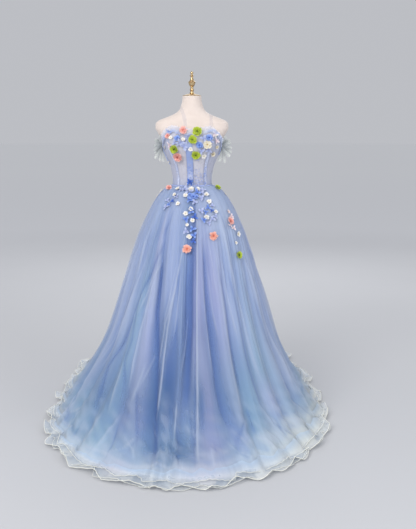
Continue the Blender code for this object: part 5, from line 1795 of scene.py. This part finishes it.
SKIRT_BLOOMS = (
    # CAD node, bearing, height, lift mm, radius mm, style, cloth
    ("flower_waist_white", -3, 1.226, 3.5, 17, "double", "white"),
    ("flower_waist_lavender", 22, 1.220, 3.5, 15, "double", "lavender"),
    ("flower_waist_pink", -66, 1.226, 3.0, 18, "rose", "pink"),
    ("flower_waist_lime", 73, 1.224, 3.0, 18, "lime", "lime"),
    ("flower_waist_blue", 2, 1.190, 3.5, 22, "double", "blue"),
    ("flower_trail_pink_right", 25, 1.005, 3.5, 24, "aster", "coral"),
    ("flower_trail_pink_centre", -6, 0.946, 3.5, 25, "aster", "coral"),
    ("flower_trail_pink_side", 55, 1.068, 3.5, 22, "rose", "pink"),
    ("flower_trail_lime", 51, 0.903, 3.5, 21, "lime", "lime"),
)
# small ones, sewn between the larger ones
BODICE_SMALL = (
    # angle, height, lift mm, radius mm, style, cloth
    (-41, 1.491, 5.0, 16, "rose", "pink"),
    (-36, 1.480, 6.0, 12, "small", "white"),
    (-13, 1.472, 6.0, 12, "small", "white"),
    (-2, 1.428, 6.0, 13, "small", "white"),
    (44, 1.404, 4.0, 14, "double", "cream"),
    (49, 1.437, 4.0, 11, "small", "cream"),
    (39, 1.491, 5.0, 13, "leaf", "white"),
    (-63, 1.437, 3.5, 9, "small", "white"),
    (-72, 1.364, 3.5, 8, "small", "white"),
    (-12, 1.443, 3.0, 27, "leaf", "lavender"),
    (-19, 1.458, 3.0, 22, "leaf", "lavender"),
    (-7, 1.264, 4.0, 19, "leaf", "deep"),
    (-3, 1.260, 3.0, 16, "leaf", "deep"),
    (-22, 1.236, 5.0, 16, "leaf", "lavender"),
    (14, 1.246, 5.0, 12, "leaf", "lavender"),
    (33, 1.462, 4.0, 16, "leaf", "lavender"),
    (17, 1.478, 3.0, 22, "leaf", "lavender"),
    (16, 1.420, 3.0, 20, "leaf", "lavender"),
    (30, 1.425, 3.0, 18, "leaf", "lavender"),
    (36, 1.500, 3.0, 20, "leaf", "blush"),
    (-6, 1.490, 3.0, 20, "leaf", "lavender"),
    (-30, 1.458, 3.0, 19, "leaf", "lavender"),
    (-42, 1.446, 3.0, 18, "leaf", "blush"),
    (-36, 1.506, 4.0, 18, "leaf", "blue"),
    (10, 1.380, 3.0, 12, "leaf", "lavender"),
    (46, 1.466, 3.0, 18, "leaf", "blush"),
    (-18, 1.506, 4.0, 15, "leaf", "lavender"),
)
SKIRT_SMALL = (
    # bearing, height, lift mm, radius mm, style, cloth
    (-14, 1.197, 5.0, 14, "small", "white"),
    (-5, 1.200, 4.0, 15, "double", "blue"),
    (8, 1.191, 4.5, 15, "double", "blue"),
    (22, 1.206, 5.0, 14, "leaf", "lavender"),
    (14, 1.226, 5.0, 13, "double", "white"),
    (80, 1.194, 4.0, 10, "small", "white"),
    (-85, 1.209, 4.0, 10, "small", "white"),
    (-85, 1.185, 4.0, 9, "small", "white"),
    (-38, 1.227, 4.0, 13, "small", "white"),
    (-38, 1.200, 4.0, 12, "small", "white"),
    (-25, 1.158, 4.0, 13, "small", "white"),
    (-36, 1.170, 4.0, 12, "leaf", "deep"),
    (-44, 1.140, 3.0, 16, "leaf", "lavender"),
    (-2, 1.134, 4.0, 13, "small", "white"),
    (-10, 1.113, 4.0, 13, "small", "white"),
    (0, 1.080, 4.0, 13, "small", "white"),
    (-7, 1.059, 4.0, 10, "small", "white"),
    (-4, 1.005, 4.0, 14, "double", "white"),
    (-2, 1.122, 3.0, 18, "leaf", "blue"),
    (0, 1.041, 3.0, 20, "leaf", "blue"),
    (30, 1.200, 4.0, 14, "small", "white"),
    (30, 1.167, 4.0, 14, "small", "white"),
    (20, 1.095, 4.0, 14, "double", "white"),
    (36, 1.119, 4.0, 12, "small", "white"),
    (20, 1.119, 3.0, 15, "leaf", "blue"),
    (30, 1.125, 3.0, 13, "leaf", "deep"),
    (28, 1.086, 3.0, 17, "leaf", "lavender"),
    (22, 1.068, 3.0, 15, "leaf", "lavender"),
    (58, 1.113, 3.0, 13, "small", "blush"),
    (56, 1.035, 3.0, 16, "leaf", "blush"),
    (60, 1.002, 4.0, 15, "small", "white"),
    (52, 0.963, 4.0, 10, "small", "white"),
    (-9, 1.218, 4.0, 22, "leaf", "lavender"),
    (-18, 1.226, 4.0, 20, "leaf", "lavender"),
    (10, 1.212, 4.0, 22, "leaf", "blue"),
    (18, 1.186, 4.0, 20, "leaf", "lavender"),
    (-6, 1.176, 4.0, 20, "leaf", "blue"),
    (4, 1.166, 4.0, 18, "leaf", "lavender"),
    (27, 1.222, 4.0, 15, "leaf", "lavender"),
    (-28, 1.224, 4.0, 15, "leaf", "lavender"),
    (-9, 1.086, 3.0, 20, "leaf", "blue"),
    (3, 1.098, 3.0, 18, "leaf", "deep"),
    (2, 1.012, 3.0, 20, "leaf", "blue"),
    (-8, 1.030, 3.0, 17, "leaf", "lavender"),
    (1, 0.984, 3.0, 16, "leaf", "deep"),
    (14, 1.126, 3.0, 19, "leaf", "lavender"),
    (25, 1.140, 3.0, 18, "leaf", "blue"),
    (33, 1.098, 3.0, 17, "leaf", "lavender"),
    (16, 1.082, 3.0, 18, "leaf", "blue"),
    (33, 1.148, 3.0, 14, "leaf", "lavender"),
    (-40, 1.152, 3.0, 14, "leaf", "blue"),
    (-32, 1.190, 3.0, 14, "leaf", "lavender"),
    (-46, 1.172, 3.0, 13, "leaf", "lavender"),
    (60, 1.090, 3.0, 18, "leaf", "blush"),
    (52, 1.050, 3.0, 16, "leaf", "blush"),
)


def skirt_frame(theta, z, mm):
    def point(t, h):
        r = float(envelope(np.array(t, float), np.array(h, float)))
        a = math.radians(t)
        return np.array([r * math.sin(a), -r * math.cos(a), h])

    n = np.cross(point(theta + 2, z) - point(theta - 2, z), point(theta, z + 0.008) - point(theta, z - 0.008))
    n /= np.linalg.norm(n)
    p = point(theta, z)
    if n[0] * p[0] + n[1] * p[1] < 0:
        n = -n
    return p + n * mm / 1000, n


def build_flowers():
    mats = {
        "lime": petal_cloth("petal_lime", ((0.0, colour(60, 70, 14)), (0.26, colour(92, 110, 20)),
                                           (0.48, colour(158, 180, 34)), (1.0, colour(196, 210, 84)))),
        "pink": petal_cloth("petal_pink", ((0.0, colour(200, 100, 92)), (0.4, colour(228, 152, 142)), (1.0, colour(243, 198, 188)))),
        "coral": petal_cloth("petal_coral", ((0.0, colour(202, 92, 72)), (0.4, colour(228, 148, 128)), (1.0, colour(242, 194, 178)))),
        "white": petal_cloth("petal_white", ((0.0, colour(206, 198, 170)), (0.3, colour(222, 218, 210)),
                                              (1.0, colour(232, 230, 228)))),
        "cream": petal_cloth("petal_cream", ((0.0, colour(190, 174, 128)), (0.4, colour(218, 208, 184)),
                                              (1.0, colour(230, 224, 208)))),
        "blue": petal_cloth("petal_blue", ((0.0, colour(70, 98, 180)), (0.5, colour(112, 142, 210)),
                                            (1.0, colour(154, 176, 224)))),
        "deep": petal_cloth("petal_deep_blue", ((0.0, colour(44, 72, 156)), (0.6, colour(74, 108, 190)),
                                                 (1.0, colour(108, 140, 208)))),
        "lavender": petal_cloth("petal_lavender", ((0.0, colour(142, 152, 200)), (0.6, colour(170, 180, 214)),
                                                     (1.0, colour(196, 202, 226)))),
        "blush": petal_cloth("petal_blush", ((0.0, colour(214, 186, 190)), (0.6, colour(222, 208, 214)),
                                             (1.0, colour(232, 224, 230)))),
    }
    hearts = {
        "lime": woven("heart_olive", colour(86, 92, 22), colour(48, 54, 14), rough=0.7),
        "pink": woven("heart_rose", colour(196, 92, 70), colour(150, 56, 48), rough=0.7),
        "coral": woven("heart_coral", colour(206, 96, 52), colour(160, 60, 36), rough=0.7),
        "white": woven("heart_straw", colour(222, 200, 120), colour(190, 164, 84), rough=0.6),
        "cream": woven("heart_gold", colour(206, 176, 96), colour(170, 138, 66), rough=0.6),
        "blue": woven("heart_navy", colour(62, 84, 160), colour(40, 56, 120), rough=0.7),
    }
    hearts["deep"] = hearts["lavender"] = hearts["blue"]
    hearts["blush"] = hearts["white"]
    seed = 40
    for node, phi, z, lift, radius, style, key in BODICE_BLOOMS:
        seed += 1
        n = bodice_normal(phi, z)
        c = bodice_point(phi, z, BODICE_OUT) + n * lift / 1000
        ob = joined(node.replace("flower", "bloom"), bloom(c, n, radius / 1000, style, seed),
                    [mats[key], hearts[key]])
        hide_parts(node)
    for node, theta, z, lift, radius, style, key in SKIRT_BLOOMS:
        seed += 1
        c, n = skirt_frame(theta, z, lift)
        if abs(theta) > 62:
            n = n * 0.9 + np.array([0.0, -0.50, 0.30])
            n /= np.linalg.norm(n)
            c = c + np.array([-0.006 * math.copysign(1, theta), 0, 0]) + n * radius / 4000
        ob = joined(node.replace("flower", "bloom"), bloom(c, n, radius / 1000, style, seed),
                    [mats[key], hearts[key]])
        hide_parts(node)
    # small ones of one cloth are one piece on the bodice and one on the skirt
    groups = {}
    for phi, z, lift, radius, style, key in BODICE_SMALL:
        seed += 1
        n = bodice_normal(phi, z)
        c = bodice_point(phi, z, BODICE_OUT) + n * lift / 1000
        groups.setdefault(("bodice", key), []).extend(bloom(c, n, radius / 1000, style, seed, False))
    for theta, z, lift, radius, style, key in SKIRT_SMALL:
        seed += 1
        c, n = skirt_frame(theta, z, lift)
        groups.setdefault(("skirt", key), []).extend(bloom(c, n, radius / 1000, style, seed, False))
    for (place, key), parts in groups.items():
        joined("small_blooms_%s_%s" % (place, key), parts, [mats[key], hearts[key]])


def build_glitter():
    rng = random.Random(5)
    m = Shader("glitter_flake", rough=0.22, metal=0.7, base=colour(226, 232, 248))
    v = m.position((1, 1, 1))
    mat = m.finish(base=m.ramp(m.noise(v, 900.0, 1.0), ((0.4, colour(190, 204, 246)), (0.6, colour(250, 250, 255)))))
    m = Shader("glitter_blue_flake", rough=0.35, metal=0.3, base=colour(120, 146, 210))
    v = m.position((1, 1, 1))
    deep = m.finish(base=m.ramp(m.noise(v, 900.0, 1.0), ((0.4, colour(104, 132, 206)), (0.6, colour(150, 172, 224)))))
    parts = []
    spots = []
    for _ in range(760):
        k = rng.random()
        if k < 0.42:      # foot of the centre ribbon and the right panel
            phi, z = rng.gauss(12, 17), 1.246 + abs(rng.gauss(0, 0.045))
        elif k < 0.62:    # right ribbon
            z = rng.uniform(1.25, 1.40)
            phi = 38 - 40 * (z - 1.25) + rng.gauss(0, 2.5)
        elif k < 0.78:    # left ribbon
            z = rng.uniform(1.25, 1.40)
            phi = -43 + rng.gauss(0, 2.5)
        else:             # centre ribbon
            z = rng.uniform(1.25, 1.36)
            phi = -5 + rng.gauss(0, 4)
        spots.append((phi, z))
    for phi, z in spots:
        n = bodice_normal(phi, z)
        c = np.array(bodice_point(phi, z, BODICE_OUT + 0.0030))
        n = np.array(n) + np.array([rng.uniform(-0.5, 0.5) for _ in range(3)])
        n /= np.linalg.norm(n)
        a = np.cross(n, [0.2, 0.1, 0.97])
        a /= np.linalg.norm(a)
        b = np.cross(n, a)
        blue = phi > -12 and z < 1.34 and rng.random() < 0.5
        r = rng.uniform(0.0011, 0.0022) if blue else rng.uniform(0.0007, 0.0014)
        ring = [c + r * (math.cos(math.pi * k / 3) * a + math.sin(math.pi * k / 3) * b) for k in range(6)]
        parts.append((np.array(ring), [[0, 1, 2, 3, 4, 5]], 1 if blue else 0, 1.0))
    joined("bodice_glitter", parts, [mat, deep], smooth=False)


# ---------------------------------------------------------------- back zip
def build_zip():
    tape = woven("zip_tape_weave", colour(168, 182, 222), colour(148, 164, 212), scale=1800.0, rough=0.8)
    outer, inner = [], []
    rows = 40
    for k in range(rows + 1):
        z = BODICE_FOOT_Z + 0.001 + (ZIP_TOP_Z + 0.006 - BODICE_FOOT_Z - 0.001) * k / rows
        y = bodice_point(180, z, BODICE_OUT).y
        outer.append([(x, y - 0.0004 + 0.0004 * (abs(x) > 0.001), z) for x in np.linspace(-0.0032, 0.0032, 9)])
        inner.append([(x, y - 0.0019, z) for x in np.linspace(-0.0032, 0.0032, 9)])
    ob = wall_object("zip_tape_cloth", outer, inner, tape)
    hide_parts("zip_tape")
    nylon = woven("zip_coil_nylon", colour(188, 198, 230), colour(160, 174, 216), scale=2500.0, rough=0.45, specular=0.5)
    parts = []
    z = BODICE_FOOT_Z + 0.004
    k = 0
    while z < ZIP_TOP_Z - 0.012:
        y = bodice_point(180, z, BODICE_OUT).y
        side = 1 if k % 2 else -1
        path = [(side * 0.0019, y - 0.0002, z), (side * 0.0012, y + 0.0004, z), (0.0, y + 0.0005, z + 0.0002),
                (-side * 0.0006, y + 0.0003, z + 0.0003)]
        v, f = tube(path, 0.00038, 6)
        parts.append((v, f, 0, 1.0))
        z += 0.0011
        k += 1
    joined("zip_coil", parts, [nylon])
    chrome = metal("zip_chrome", colour(206, 208, 212), colour(168, 170, 176), rough=0.22, scale=900.0)
    for node in ("zip_slider", "zip_pull"):
        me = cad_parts[node].data
        me.materials.clear()
        me.materials.append(chrome)


build_stage()
build_skirt()
build_frill()
build_form()
build_bodice()
build_bands()
build_neckline()
build_straps()
build_fans()
build_flowers()
build_glitter()
build_zip()
